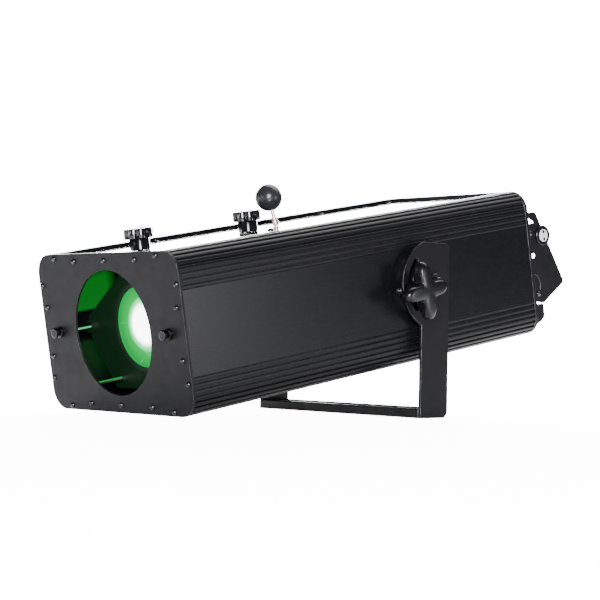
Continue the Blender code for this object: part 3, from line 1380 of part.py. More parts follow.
def make_dial(index, face):
    base = SEAT_GAP
    profile = [
        (0, base + DIAL_HEIGHT),
        (DIAL_TOP_RADIUS - DIAL_EDGE, base + DIAL_HEIGHT),
        (DIAL_TOP_RADIUS, base + DIAL_HEIGHT - DIAL_EDGE),
        (DIAL_RADIUS, base + DIAL_SKIRT_HEIGHT),
        (DIAL_RADIUS, base),
        (DIAL_SHAFT_RADIUS, base),
        (DIAL_SHAFT_RADIUS, -DIAL_SHAFT_DEPTH),
        (0, -DIAL_SHAFT_DEPTH),
    ]
    place = (DIAL_X + index * DIAL_PITCH, 0, 0)
    return finish(turned(f"dial_{index + 1}", profile, "Z", face, place, MEDIUM_STEPS), PLASTIC)


def make_lower_cover():
    back = rear_face + SEAT_GAP
    depth = rear_face + COVER_DEPTH
    corners = [
        (back, cover_top),
        (depth, cover_top),
        (depth, cover_top - COVER_FACE_HEIGHT),
        (depth - COVER_BEVEL_DEPTH, cover_bottom + COVER_TOE_RISE),
        (depth - COVER_TOE_DEPTH, cover_bottom),
        (back, cover_bottom),
    ]
    outline = filleted(corners, [0, FOLD_ROUND, FOLD_ROUND, FOLD_ROUND, FOLD_ROUND, 0], 3)
    cover = plate("lower_cover", outline, 2 * COVER_HALF_WIDTH, "X", housing_datum)
    hollowed(cover, "cover_hollow", corners, COVER_HALF_WIDTH - CONSOLE_WALL, CONSOLE_WALL)
    return finish(cover, SATIN_BLACK)


# Sockets and switch beside the console

def make_inlet():
    """A mains inlet: a flange on the rear plate and a body through it, open to the rear."""
    flange_y = rear_face + SEAT_GAP + INLET_FLANGE / 2
    size = (INLET_WIDTH + 2 * INLET_FLANGE, INLET_FLANGE, INLET_HEIGHT + 2 * INLET_FLANGE)
    inlet = block("power_inlet", size, housing_datum, (-SOCKET_X, flange_y, INLET_Z))
    body_size = (INLET_WIDTH, INLET_DEPTH, INLET_HEIGHT)
    unite(inlet, block("inlet_body", body_size, inlet, (0, -INLET_DEPTH / 2, 0), (0, 0, 0), cutters))
    recess_size = (INLET_WIDTH - 2 * INLET_WALL, INLET_DEPTH, INLET_HEIGHT - 2 * INLET_WALL)
    recess_place = (0, INLET_FLANGE - INLET_DEPTH / 2, 0)
    cut(inlet, block("inlet_recess", recess_size, inlet, recess_place, (0, 0, 0), cutters))
    return finish(inlet, PLASTIC)


def make_data_sockets():
    """Two round sockets, one above the other, on one small plate."""
    outline = filleted(rectangle((0, 0), DATA_PLATE_WIDTH, DATA_PLATE_HEIGHT), DATA_PLATE_ROUND, 2)
    place = (SOCKET_X, rear_face + SEAT_GAP + DATA_PLATE_THICKNESS / 2, DATA_Z)
    sockets = plate("data_sockets", outline, DATA_PLATE_THICKNESS, "Y", housing_datum, place)
    for level in (-1, 1):
        centre = (0, 0, level * DATA_SOCKET_SPACING / 2)
        ends = (-DATA_SOCKET_DEPTH, 0)
        name = f"barrel_{level}"
        barrel = rod(name, DATA_SOCKET_RADIUS, *ends, "Y", sockets, centre, MEDIUM_STEPS, cutters)
        unite(sockets, barrel)
    for level in (-1, 1):
        centre = (0, 0, level * DATA_SOCKET_SPACING / 2)
        ends = (-DATA_SOCKET_DEPTH + DATA_SOCKET_WALL, DATA_SOCKET_DEPTH)
        bore_radius = DATA_SOCKET_RADIUS - DATA_SOCKET_WALL
        cut(sockets, rod(f"bore_{level}", bore_radius, *ends, "Y", sockets, centre, MEDIUM_STEPS, cutters))
    return finish(sockets, BLACK_METAL)


def make_switch():
    """A rocker in the rear plate, tipped to its on side."""
    axis = empty("switch_axis", housing_datum, (-SOCKET_X, rear_face - SWITCH_DEPTH / 4, SWITCH_Z))
    size = (SWITCH_WIDTH, SWITCH_DEPTH, SWITCH_HEIGHT)
    rocker = block("power_switch", size, axis, (0, 0, 0), (SWITCH_SWING / 2, 0, 0))
    return finish(bevelled(rocker, SWITCH_EDGE, 1), PLASTIC)


SIDES = (("right", 1), ("left", -1))


def build_followspot():
    make_yoke_base()
    make_top_panel()
    make_bottom_panel()
    make_front_plate()
    make_rear_plate()
    make_gate()
    for side_name, side in SIDES:
        make_yoke_arm(f"yoke_arm_{side_name}", side)
        make_side_panel(f"side_panel_{side_name}", side)
        make_corner(f"corner_upper_{side_name}", side, 1)
        make_corner(f"corner_lower_{side_name}", side, -1)
        make_trunnion(f"trunnion_{side_name}", side)
        make_pivot_bolt(f"pivot_bolt_{side_name}", side)
        make_lock_knob(f"tilt_lock_{side_name}", side)
        make_upper_rod(f"upper_rod_{side_name}", side)
        make_lower_rod(f"lower_rod_{side_name}", side)
        make_cheek(f"cheek_{side_name}", side)
    for place_name, rest_y in (("front", FRONT_CARRIAGE_Y), ("rear", REAR_CARRIAGE_Y)):
        make_carriage(f"{place_name}_carriage", rest_y)
        make_lens(f"{place_name}_lens", rest_y)
        make_focus_knob(f"{place_name}_focus_knob", rest_y)
    iris_axis = empty("iris_axis", housing_datum, (0, LEVER_Y, 0), (0, LEVER_LEAN, 0))
    make_lever(iris_axis)
    make_ball(iris_axis)
    for index in range(IRIS_BLADE_COUNT):
        make_blade(index)
    wheel_axis = empty("colour_wheel_axis", housing_datum, (-WHEEL_OFFSET, wheel_y, 0))
    make_motor()
    make_wheel_hub(wheel_axis)
    make_colour_glass(wheel_axis)
    make_lamp()
    make_heat_sink()
    make_fan_frame()
    make_fan_rotor()
    make_power_supply()
    make_handle()
    face = make_console()
    for index in range(BUTTON_COUNT):
        make_button(index, face)
    for index in range(2):
        make_dial(index, face)
    make_lower_cover()
    make_inlet()
    make_data_sockets()
    make_switch()


build_followspot()
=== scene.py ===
"""Dresses the followspot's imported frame: paint, ribs, screws, castings, glass and light."""
import json
from math import cos, pi, radians, sin, tau

import bmesh
import bpy
from bpy.props import FloatProperty, FloatVectorProperty, IntProperty, PointerProperty
from mathutils import Matrix, Vector

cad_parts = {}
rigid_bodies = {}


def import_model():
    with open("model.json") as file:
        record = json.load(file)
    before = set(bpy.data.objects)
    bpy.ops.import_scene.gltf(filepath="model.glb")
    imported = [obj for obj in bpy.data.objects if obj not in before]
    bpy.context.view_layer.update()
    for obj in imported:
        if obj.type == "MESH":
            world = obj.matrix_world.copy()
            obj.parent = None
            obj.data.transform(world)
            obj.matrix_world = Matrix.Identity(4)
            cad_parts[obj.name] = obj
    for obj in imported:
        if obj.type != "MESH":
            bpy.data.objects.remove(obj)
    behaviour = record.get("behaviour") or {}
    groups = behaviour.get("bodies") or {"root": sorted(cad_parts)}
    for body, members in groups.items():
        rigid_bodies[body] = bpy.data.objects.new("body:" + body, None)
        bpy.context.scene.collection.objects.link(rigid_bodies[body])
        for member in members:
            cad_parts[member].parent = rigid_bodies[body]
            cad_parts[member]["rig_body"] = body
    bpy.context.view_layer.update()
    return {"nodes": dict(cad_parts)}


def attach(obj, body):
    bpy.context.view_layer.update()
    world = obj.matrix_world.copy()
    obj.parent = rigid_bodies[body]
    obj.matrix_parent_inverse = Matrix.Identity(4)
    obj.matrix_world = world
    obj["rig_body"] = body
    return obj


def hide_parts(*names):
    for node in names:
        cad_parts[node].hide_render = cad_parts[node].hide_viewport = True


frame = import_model()

bl_info = {
    "name": "Followspot",
    "version": (1, 0, 0),
    "blender": (4, 5, 0),
    "location": "View3D > Sidebar > Followspot",
    "description": "Dresses a followspot's frame with its paint, screws, castings, glass and light",
    "category": "Object",
}

# The housing's own axes: x across, y rearwards from the front plate's face, z up from the middle
NOSE_DOWN = radians(10)
PIVOT_FROM_FRONT = 0.3837
PIVOT_HEIGHT = 0.166
HOUSING = (
    Matrix.Translation((0, 0, PIVOT_HEIGHT))
    @ Matrix.Rotation(NOSE_DOWN, 4, "X")
    @ Matrix.Translation((0, -PIVOT_FROM_FRONT, 0))
)
UNMOVED = Matrix.Identity(4)

# The housing shell's sizes, as its solids have them
HALF_WIDTH = 0.14
HALF_HEIGHT = 0.0947
CORNER_RADIUS = 0.0245
SIDE_EDGE_Z = 0.0498
TOP_EDGE_X = 0.1053
SHELL_FRONT = 0.0033
SHELL_BACK = 0.5755
REAR_FACE = 0.5808
TOP_FACE_Z = 0.0907
LIP_TOP_Z = 0.0889
LIP_SIDE_X = 0.1377
LIP_WIDTH = 0.008
WALL = 0.002
ARM_OUTER_X = 0.154
GAP = 0.0003

# The carriages' places at rest, along the housing
FRONT_CARRIAGE_Y = 0.055
REAR_CARRIAGE_Y = 0.222

# Sides of the housing
RIGHT = 1
LEFT = -1
SIDES = (("right", RIGHT), ("left", LEFT))

# Ways for a screw head to face, as turns
UPWARDS = (0, 0, 0)
FORWARDS = (pi / 2, 0, 0)
REARWARDS = (-pi / 2, 0, 0)
OUTWARDS = (0, pi / 2, 0)

# Edges sharper than these stay sharp in shading, or are rounded off
CAST_ANGLE = radians(34)
MOULDED_ANGLE = radians(50)
SHARP_ANGLE = radians(36)


# Helpers

def added(name, data):
    """An object in the scene, with that data."""
    made = bpy.data.objects.new(name, data)
    bpy.context.scene.collection.objects.link(made)
    return made


def shaded(made, angle):
    """Shade an object smooth, but for edges sharper than that."""
    for face in made.data.polygons:
        face.use_smooth = True
    made.data.set_sharp_from_angle(angle=angle)
    return made


def link(name, shape, kind, place=HOUSING, smooth=CAST_ANGLE):
    """Make a bmesh an object of that finish, with its place in its mesh."""
    mesh = bpy.data.meshes.new(name)
    shape.to_mesh(mesh)
    shape.free()
    mesh.transform(place)
    mesh.materials.append(finish_for(kind))
    return shaded(added(name, mesh), smooth)


def settled(made):
    """Replace an object's mesh by what its modifiers make of it."""
    bpy.context.view_layer.update()
    evaluated = made.evaluated_get(bpy.context.evaluated_depsgraph_get())
    mesh = bpy.data.meshes.new_from_object(evaluated)
    made.modifiers.clear()
    made.data = mesh
    return made


def mounted(made, node):
    """Ride on a node's body and stand for the node, which is hidden."""
    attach(made, frame["nodes"][node]["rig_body"])
    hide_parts(node)
    return made


def trimmed(made, body="head"):
    """A small piece that stands for no node."""
    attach(made, body)
    return made


def rounded(shape, edges, width, segments=2, slot=-1):
    """Round edges off, with the new faces in that material slot, or in their neighbours'."""
    bmesh.ops.bevel(
        shape, geom=edges, offset=width, segments=segments, material=slot,
        affect="EDGES", profile=0.5, clamp_overlap=True,
    )


def softened(node, kind, width=0.0003, segments=2, rubbed=False, highlit_towards=None):
    """A node with its sharp edges rounded a little; the rounded edges may take a worn bright finish that is
    also a painted edge highlight, all round or only where they face one direction.
    """
    shape = bmesh.new()
    shape.from_mesh(frame["nodes"][node].data)
    bmesh.ops.remove_doubles(shape, verts=shape.verts, dist=2e-6)
    bmesh.ops.dissolve_limit(shape, angle_limit=radians(0.4), verts=shape.verts, edges=shape.edges)
    sharp = [edge for edge in shape.edges if edge.is_manifold and edge.calc_face_angle(0) > SHARP_ANGLE]
    rounded(shape, sharp, width, segments, 1 if rubbed else -1)
    # Faces turned away from that direction go back to the plain finish, so the worn bright edges and their
    # painted highlight stay only on the side that catches the light
    for face in shape.faces:
        if highlit_towards and face.normal.dot(highlit_towards) < 0:
            face.material_index = 0
    made = link(f"{node}_finished", shape, kind, UNMOVED)
    # The second slot holds the worn bright edge finish: partly wear, partly a painted edge highlight
    if rubbed:
        made.data.materials.append(finish_for("Rubbed edge"))
    made.modifiers.new("Weighted", "WEIGHTED_NORMAL").keep_sharp = True
    return mounted(settled(made), node)


def ringed(rings):
    """A skin through rings of points, closed over at both ends."""
    shape = bmesh.new()
    loops = [[shape.verts.new(point) for point in ring] for ring in rings]
    count = len(loops[0])
    for near, far in zip(loops, loops[1:]):
        for step in range(count):
            other = (step + 1) % count
            shape.faces.new((near[step], near[other], far[other], far[step]))
    shape.faces.new(list(reversed(loops[0])))
    shape.faces.new(loops[-1])
    bmesh.ops.remove_doubles(shape, verts=shape.verts, dist=1e-7)
    bmesh.ops.recalc_face_normals(shape, faces=shape.faces)
    return shape


def turned(name, kind, levels, axis, centre, steps=64, side=RIGHT, place=HOUSING, smooth=CAST_ANGLE):
    """A form through (radius, distance along the axis) levels; a radius may be a function of the angle."""
    tiny = 1e-5
    rings = []
    for radius, along in levels:
        ring = []
        for step in range(steps):
            angle = tau * step / steps
            reach = max(radius(angle) if callable(radius) else radius, tiny)
            point = [reach * cos(angle), reach * sin(angle)]
            point.insert("XYZ".index(axis), side * along)
            ring.append([own + middle for own, middle in zip(point, centre)])
        rings.append(ring)
    return link(name, ringed(rings), kind, place, smooth)


def boxed(name, kind, size, centre, round_by, place=HOUSING):
    """A block, with its edges rounded by that much."""
    shape = bmesh.new()
    bmesh.ops.create_cube(shape, size=1)
    bmesh.ops.scale(shape, vec=size, verts=shape.verts)
    bmesh.ops.translate(shape, vec=centre, verts=shape.verts)
    rounded(shape, shape.edges, round_by)
    return link(name, shape, kind, place)


def bent_wire(name, kind, path, radius, steps=16):
    """A round wire along points in one plane across x."""
    rings = []
    aside = Vector((1, 0, 0))
    for index, point in enumerate(path):
        before = Vector(path[max(index - 1, 0)])
        after = Vector(path[min(index + 1, len(path) - 1)])
        up = (after - before).normalized().cross(aside)
        ring = []
        for step in range(steps):
            angle = tau * step / steps
            ring.append(Vector(point) + aside * (radius * cos(angle)) + up * (radius * sin(angle)))
        rings.append(ring)
    return link(name, ringed(rings), kind)


# Node trees

class NodeMaker:
    """Adds nodes to a tree."""

    def __init__(self, tree):
        self.tree = tree

    def node(self, kind, inputs=None, **settings):
        """A new node with its settings, and with what each input is given."""
        made = self.tree.nodes.new(kind)
        for label, value in settings.items():
            setattr(made, label, value)
        for label, value in (inputs or {}).items():
            self.give(made.inputs[label], value)
        return made

    def give(self, socket, value):
        """Set a socket to a value, or join it to an output or to a node's first output."""
        if isinstance(value, bpy.types.Node):
            value = value.outputs[0]
        if isinstance(value, bpy.types.NodeSocket):
            self.tree.links.new(value, socket)
        else:
            socket.default_value = value

    def sums(self, operation, first, second):
        """One sum on two values, each a number or an output."""
        return self.node("ShaderNodeMath", {0: first, 1: second}, operation=operation)


# Where the beam lights the walls inside: from where it starts to where it is full or has gone
SPILL_SIDE = (-0.1, -0.06)
SPILL_REACH = (0.095, 0.11)
SPILL_ABOVE_FOOT = (0.016, 0.019)
SPILL_ABOVE_HEAD = (0.056, 0.07)
SPILL_BELOW_HEAD = (-0.022, -0.018)
SPILL_BELOW_FOOT = (-0.075, -0.045)
SPILL_BELOW_SHARE = 0.15

# Where the beam lights a guide rod: along it, and round it as shares of its distance from the beam's axis
GLINT_START = (0.004, 0.012)
GLINT_END = (0.08, 0.11)
GLINT_INNER = (-0.985, -0.93)


class Finish(NodeMaker):
    """A material under construction, with its nodes added one after the other."""

    def __init__(self, name, colour, roughness, metallic=0.0, coat=0.0, specular=0.5):
        self.material = bpy.data.materials.new(name)
        self.material.use_nodes = True
        super().__init__(self.material.node_tree)
        self.shader = self.tree.nodes["Principled BSDF"]
        self.place = self.node("ShaderNodeTexCoord").outputs
        self.colour = colour
        self.roughness = roughness
        for label, value in {
            "Base Color": (*colour, 1), "Roughness": roughness, "Metallic": metallic, "Coat Weight": coat,
            "Coat Roughness": 0.05, "Specular IOR Level": specular,
        }.items():
            self.put(label, value)

    def put(self, label, value):
        self.give(self.shader.inputs[label], value)

    def mapped(self, scale=(1, 1, 1), shift=(0, 0, 0)):
        """Object coordinates turned level with the housing, then stretched."""
        level = self.levelled("Object", shift)
        return self.node("ShaderNodeMapping", {"Vector": level, "Scale": scale})

    def levelled(self, label, shift=(0, 0, 0)):
        inputs = {"Vector": self.place[label], "Rotation": (-NOSE_DOWN, 0, 0), "Location": shift}
        return self.node("ShaderNodeMapping", inputs)

    def noise(self, size, detail=4.0, stretch=(1, 1, 1)):
        """Soft noise whose grains are about that many metres across."""
        inputs = {"Vector": self.mapped(stretch), "Scale": 1 / size, "Detail": detail, "Roughness": 0.55}
        return self.node("ShaderNodeTexNoise", inputs)

    def spread(self, value, low, high, start=0.3, end=0.7):
        """Low where the value is at its start, high where it is at its end."""
        inputs = {"Value": value, "From Min": start, "From Max": end, "To Min": low, "To Max": high}
        return self.node("ShaderNodeMapRange", inputs)

    def tint(self, clouds, shades, patches=(0.3, 0.7)):
        """Colour the surface between two shades of its colour, by noise."""
        mix = self.node("ShaderNodeMix", {"Factor": self.spread(clouds, 0, 1, *patches)}, data_type="RGBA")
        sockets = [socket for socket in mix.inputs if socket.type == "RGBA"]
        for socket, share in zip(sockets, shades):
            socket.default_value = (*shade(self.colour, share), 1)
        self.put("Base Color", [socket for socket in mix.outputs if socket.type == "RGBA"][0])

    def sheen(self, grain, swing):
        """Vary the roughness by noise, from the lower to the upper end of its swing."""
        low, high = swing
        self.put("Roughness", self.spread(grain, self.roughness + low, self.roughness + high))

    def relief(self, grain, depth, strength):
        inputs = {"Height": grain, "Distance": depth, "Strength": strength}
        self.put("Normal", self.node("ShaderNodeBump", inputs))

    def product(self, first, *others):
        for other in others:
            first = self.sums("MULTIPLY", first, other)
        return first

    def length(self, vector):
        return self.node("ShaderNodeVectorMath", {0: vector}, operation="LENGTH").outputs["Value"]

    def glow(self, colour, strength):
        self.put("Emission Color", (*colour, 1))
        self.put("Emission Strength", strength)

    def level_place(self):
        """The place in the housing's own axes."""
        return self.node("ShaderNodeSeparateXYZ", {0: self.mapped(shift=-level_point((0, 0, 0)))}).outputs

    def level_facing(self):
        """The way the surface faces, in the housing's own axes."""
        return self.node("ShaderNodeSeparateXYZ", {0: self.levelled("Normal")}).outputs

    def beam_spill(self, colour, strength):
        """The beam's light on the walls inside, above and below the dark band behind the guide rods."""
        x, y, z = self.level_place()
        face_x = self.level_facing()[0]
        inside = self.spread(self.product(x, face_x), 1, 0, *SPILL_SIDE)
        near = self.spread(y, 1, 0, *SPILL_REACH)
        foot = self.spread(z, 0, 1, *SPILL_ABOVE_FOOT)
        above = self.product(foot, self.spread(z, 1, 0, *SPILL_ABOVE_HEAD))
        foot = self.spread(z, 0, 1, *SPILL_BELOW_FOOT)
        below = self.product(self.spread(z, SPILL_BELOW_SHARE, 0, *SPILL_BELOW_HEAD), foot)
        self.glow(colour, self.product(inside, near, self.sums("ADD", above, below), strength))

    def beam_glint(self, reach, colour, strength):
        """The beam's light along a guide rod's inner side, that far from the beam's axis."""
        x, y, z = self.level_place()
        face_x, _, face_z = self.level_facing()
        outwards = self.sums("ADD", self.product(x, face_x), self.product(z, face_z))
        inner = self.spread(outwards, 1, 0, *(share * reach for share in GLINT_INNER))
        along = self.product(self.spread(y, 0, 1, *GLINT_START), self.spread(y, 1, 0, *GLINT_END))
        self.glow(colour, self.product(inner, along, strength))


def shade(colour, share):
    return tuple(value * share for value in colour)


def level_point(point):
    """A point of the housing's axes in Object coordinates turned level."""
    return Matrix.Rotation(-NOSE_DOWN, 3, "X") @ (HOUSING @ Vector(point))


# Finishes

def powder_coat(name, colour, roughness=0.42):
    """Baked powder: a fine pebbled skin, cloudy in its gloss, with a little dust."""
    made = Finish(name, colour, roughness, specular=0.18)
    made.tint(made.noise(0.05), shades=(0.86, 1.14))
    made.sheen(made.noise(0.018), swing=(-0.06, 0.07))
    made.relief(made.noise(0.0009, 2.0), depth=0.00006, strength=0.5)
    return made


def carriage_coat(name, colour, beam):
    """Matt black anodised plate in the beam's own dim light."""
    made = Finish(name, colour, 0.5, specular=0.4)
    made.tint(made.noise(0.02), shades=(0.85, 1.15))
    made.sheen(made.noise(0.004), swing=(-0.05, 0.06))
    made.relief(made.noise(0.0006, 3.0), depth=0.00001, strength=0.3)
    made.glow(beam, 0.018)
    return made


def drawn_coat(name, colour, roughness, coat=0.0, light=(0, 0, 0), spill=0.0):
    """Anodised extrusion: faint lines along its length and a cloudy satin, lit inside by the beam."""
    made = Finish(name, colour, roughness, coat=coat, specular=0.24)
    lines = made.noise(0.0006, 3.0, (1, 0.01, 1))
    made.tint(made.noise(0.04), shades=(0.92, 1.08))
    made.sheen(lines, swing=(-0.003, 0.004))
    made.relief(lines, depth=0.000001, strength=0.04)
    if spill:
        made.beam_spill(light, spill)
    return made


def polished_steel(name, colour, roughness=0.16, darkest=0.85, stretch=(0.2, 1, 1), glint=None):
    """Ground and polished bar with hair-fine marks, which may catch the beam on its inner side."""
    made = Finish(name, colour, roughness, metallic=1.0)
    marks = made.noise(0.0004, 3.0, stretch)
    made.tint(made.noise(0.012), shades=(darkest, 1))
    made.sheen(marks, swing=(-0.05, 0.1))
    made.relief(marks, depth=0.00001, strength=0.3)
    if glint:
        made.beam_glint(*glint)
    return made


def blackened_steel(name, colour, roughness, metallic=0.85, coat=0.0):
    """Oxide-blacked screws and fittings, worn paler in patches."""
    made = Finish(name, colour, roughness, metallic=metallic, coat=coat)
    made.tint(made.noise(0.004), shades=(1, 2.2), patches=(0.45, 0.75))
    made.sheen(made.noise(0.002), swing=(-0.05, 0.06))
    made.relief(made.noise(0.0005, 2.0), depth=0.000005, strength=0.3)
    return made


def worn_edge_highlight(name, colour):
    """Paint worn thin along an edge: patches of it gone down to bright metal, which also make a painted
    highlight along the edge.
    """
    made = Finish(name, colour, 0.28, metallic=0.8)
    made.tint(made.noise(0.012), shades=(6, 26), patches=(0.35, 0.65))
    made.sheen(made.noise(0.003), swing=(-0.06, 0.06))
    made.relief(made.noise(0.0009, 2.0), depth=0.00003, strength=0.4)
    return made


def moulded_plastic(name, colour, roughness, coat, pebble=0.0007, depth=0.000001):
    """Moulded plastic: even colour, slight flow clouds and fine scuffs."""
    made = Finish(name, colour, roughness, coat=coat)
    made.tint(made.noise(0.02), shades=(0.9, 1.1))
    made.sheen(made.noise(0.004, 6.0), swing=(-0.02, 0.03))
    made.relief(made.noise(pebble, 2.0), depth, strength=0.1)
    return made


def bare_aluminium(name, colour, roughness=0.38):
    """Mill-finish aluminium with a faint grain."""
    made = Finish(name, colour, roughness, metallic=1.0)
    grain = made.noise(0.0006, 4.0, (1, 0.05, 1))
    made.tint(made.noise(0.03), shades=(0.85, 1))
    made.sheen(grain, swing=(-0.08, 0.1))
    made.relief(grain, depth=0.00002, strength=0.4)
    return made


def lens_glow(name, colour, strength):
    """A lens filled with light: white-hot about one point, coloured towards its rim."""
    hot_point = (0.012, 0.04, 0.004)
    reach = 0.075
    made = Finish(name, shade(colour, 0.01), 0.06, specular=0.3)
    distance = made.length(made.mapped((1, 0, 1), shift=-level_point(hot_point)))
    ramp = made.node("ShaderNodeValToRGB", {"Fac": made.spread(distance, 0, 1, 0.0, reach)})
    stops = ramp.color_ramp.elements
    stops[0].position = 0.26
    stops[0].color = (1, 1, 1, 1)
    stops[1].position = 0.7
    stops[1].color = (*shade(colour, 0.07), 1)
    stops.new(0.36).color = (0.05, 0.26, 0.1, 1)
    stops.new(0.45).color = (*shade(colour, 0.11), 1)
    made.put("Emission Color", ramp)
    made.put("Emission Strength", strength)
    return made


def optic_glass(name, tint):
    """Clear ground glass with a faint coating."""
    made = Finish(name, tint, 0.03, coat=0.2)
    made.put("Transmission Weight", 0.9)
    made.put("IOR", 1.5)
    made.sheen(made.noise(0.01), swing=(-0.02, 0.03))
    return made


def floor_paper(name, colour):
    """Matt pale paper that gives way to the pale surroundings far from the object."""
    fade = (1.2, 5.0)
    glow_on_object = 0.13
    glow_seen = 13.0
    made = Finish(name, colour, 0.9)
    made.tint(made.noise(0.6), shades=(0.985, 1))
    made.put("Alpha", made.spread(made.length(made.place["Object"]), 1, 0, *fade))
    seen = made.node("ShaderNodeLightPath").outputs["Is Camera Ray"]
    made.glow(colour, made.spread(seen, glow_on_object, glow_seen, 0, 1))
    return made


def finish_for(kind):
    """A finish of this object, made when first asked for."""
    found = bpy.data.materials.get(kind)
    if found:
        return found
    colours = bpy.context.scene.followspot_colours
    labels = ("paint", "shell", "plastic", "pale", "steel", "beam", "floor")
    paint, shell, plastic, pale, steel, beam, floor = (tuple(getattr(colours, label)) for label in labels)
    spill = (beam[0], beam[1], beam[2] * 0.45)
    along_bar = (1, 0.2, 1)
    upper_glint = (0.1045, (0.1, 0.9, 0.35), 0.9)
    lower_glint = (0.0902, (0.0, 0.9, 0.1), 0.5)
    # Each finish has its maker and what it takes: a colour, mostly a roughness, and the rest in its order
    recipes = {
        "Powder coat": (powder_coat, paint),
        "Yoke coat": (powder_coat, shade(paint, 0.7)),
        "Ribbed shell": (drawn_coat, shade(shell, 0.8), 0.34, 0.0, spill, 0.22),
        "Side panel coat": (drawn_coat, shell, 0.27, 0.0, spill, 0.22),
        "Top panel coat": (drawn_coat, shell, 0.12, 1.0),
        "Carriage coat": (carriage_coat, shade(shell, 0.4), beam),
        "Moulded knob": (moulded_plastic, plastic, 0.14, 1.0),
        "Satin knob": (moulded_plastic, shade(plastic, 0.7), 0.24, 0.0),
        "Matt moulding": (moulded_plastic, shade(plastic, 1.6), 0.5, 0.0, 0.0006, 0.0002),
        "Pale moulding": (moulded_plastic, pale, 0.4, 0.1),
        "Polished steel": (polished_steel, steel),
        "Blackened steel": (blackened_steel, shade(paint, 8.0), 0.2),
        "Domed screw": (blackened_steel, shade(paint, 0.8), 0.16, 0.0, 1.0),
        # Worn edges: partly real wear, partly a painted highlight along the edge
        "Rubbed edge": (worn_edge_highlight, paint),
        "Upper guide bar": (polished_steel, shade(paint, 10.0), 0.25, 0.8, along_bar, upper_glint),
        "Lower guide bar": (polished_steel, shade(steel, 0.4), 0.2, 0.8, along_bar, lower_glint),
        "Lever rod": (polished_steel, (0.62, 0.46, 0.44), 0.3),
        "Lever ball": (moulded_plastic, shade(plastic, 3.6), 0.27, 0.0),
        "Handle cap disc": (moulded_plastic, pale, 0.35, 0.2),
        "Bare aluminium": (bare_aluminium, shade(steel, 0.85)),
        "Brass": (polished_steel, (0.75, 0.52, 0.22), 0.25),
        "Optic glass": (optic_glass, (0.92, 0.97, 0.94)),
        "Colour glass": (optic_glass, shade(beam, 0.9)),
        "Display": (moulded_plastic, (0.004, 0.006, 0.008), 0.06, 1.0),
        "Lit lens": (lens_glow, beam, colours.beam_strength),
        "Floor paper": (floor_paper, floor),
    }
    maker, *values = recipes[kind]
    return maker(kind, *values).material


def wears(node, kind):
    """Give a solid whose shape is right its finish."""
    materials = frame["nodes"][node].data.materials
    materials.clear()
    materials.append(finish_for(kind))


# What repeats along a line or at points

class Growth(NodeMaker):
    """A geometry node tree with named inputs, which ends in real geometry with its finish."""

    def __init__(self, name, inputs):
        super().__init__(bpy.data.node_groups.new(name, "GeometryNodeTree"))
        face = self.tree.interface
        face.new_socket(name="Geometry", in_out="INPUT", socket_type="NodeSocketGeometry")
        self.keys = {}
        for label, kind in {**inputs, "Finish": "Material"}.items():
            socket = face.new_socket(name=label, in_out="INPUT", socket_type=f"NodeSocket{kind}")
            self.keys[label] = socket.identifier
        face.new_socket(name="Geometry", in_out="OUTPUT", socket_type="NodeSocketGeometry")
        self.given = self.tree.nodes.new("NodeGroupInput").outputs

    def joined(self, *pieces):
        made = self.node("GeometryNodeJoinGeometry")
        for piece in pieces:
            self.give(made.inputs[0], piece)
        return made

    def moved(self, piece, along, distance):
        """A piece moved along one axis."""
        shift = self.node("ShaderNodeCombineXYZ", {along: distance})
        return self.node("GeometryNodeTransform", {"Geometry": piece, "Translation": shift})

    def end(self, piece):
        real = self.node("GeometryNodeRealizeInstances", {"Geometry": piece})
        dressed = self.node("GeometryNodeSetMaterial", {"Geometry": real, "Material": self.given["Finish"]})
        self.node("NodeGroupOutput", {"Geometry": dressed})
        return self

    def grow(self, name, points, edges, values, kind, place=HOUSING):
        """What the tree makes of those points, as a plain mesh in its place."""
        seed = bpy.data.meshes.new(name)
        seed.from_pydata(points, edges, [])
        made = added(name, seed)
        modifier = made.modifiers.new(self.tree.name, "NODES")
        modifier.node_group = self.tree
        for label, value in {**values, "Finish": finish_for(kind)}.items():
            modifier[self.keys[label]] = value
        settled(made)
        made.data.transform(place)
        made.data.materials.clear()
        made.data.materials.append(finish_for(kind))
        for face in made.data.polygons:
            face.material_index = 0
        return shaded(made, CAST_ANGLE)


def screw_tree():
    """Domed heads with a six-sided key hole, one at each point."""
    inputs = {"Head radius": "Float", "Head height": "Float", "Key radius": "Float", "Turn": "Vector"}
    tree = Growth("Screws", inputs)
    radius = tree.given["Head radius"]
    height = tree.given["Head height"]
    dome = tree.node("GeometryNodeMeshUVSphere", {"Radius": radius, "Segments": 20, "Rings": 10})
    size = tree.node("ShaderNodeCombineXYZ", {"X": 1, "Y": 1, "Z": tree.sums("DIVIDE", height, radius)})
    head = tree.node("GeometryNodeTransform", {"Geometry": dome, "Scale": size})
    depth = tree.sums("MULTIPLY", height, 1.1)
    inputs = {"Radius": tree.given["Key radius"], "Depth": depth, "Vertices": 6}
    key = tree.moved(tree.node("GeometryNodeMeshCylinder", inputs), "Z", height)
    bored = tree.node("GeometryNodeMeshBoolean", {"Mesh 1": head, "Mesh 2": key}, operation="DIFFERENCE")
    inputs = {"Points": tree.given["Geometry"], "Instance": bored, "Rotation": tree.given["Turn"]}
    return tree.end(tree.node("GeometryNodeInstanceOnPoints", inputs))


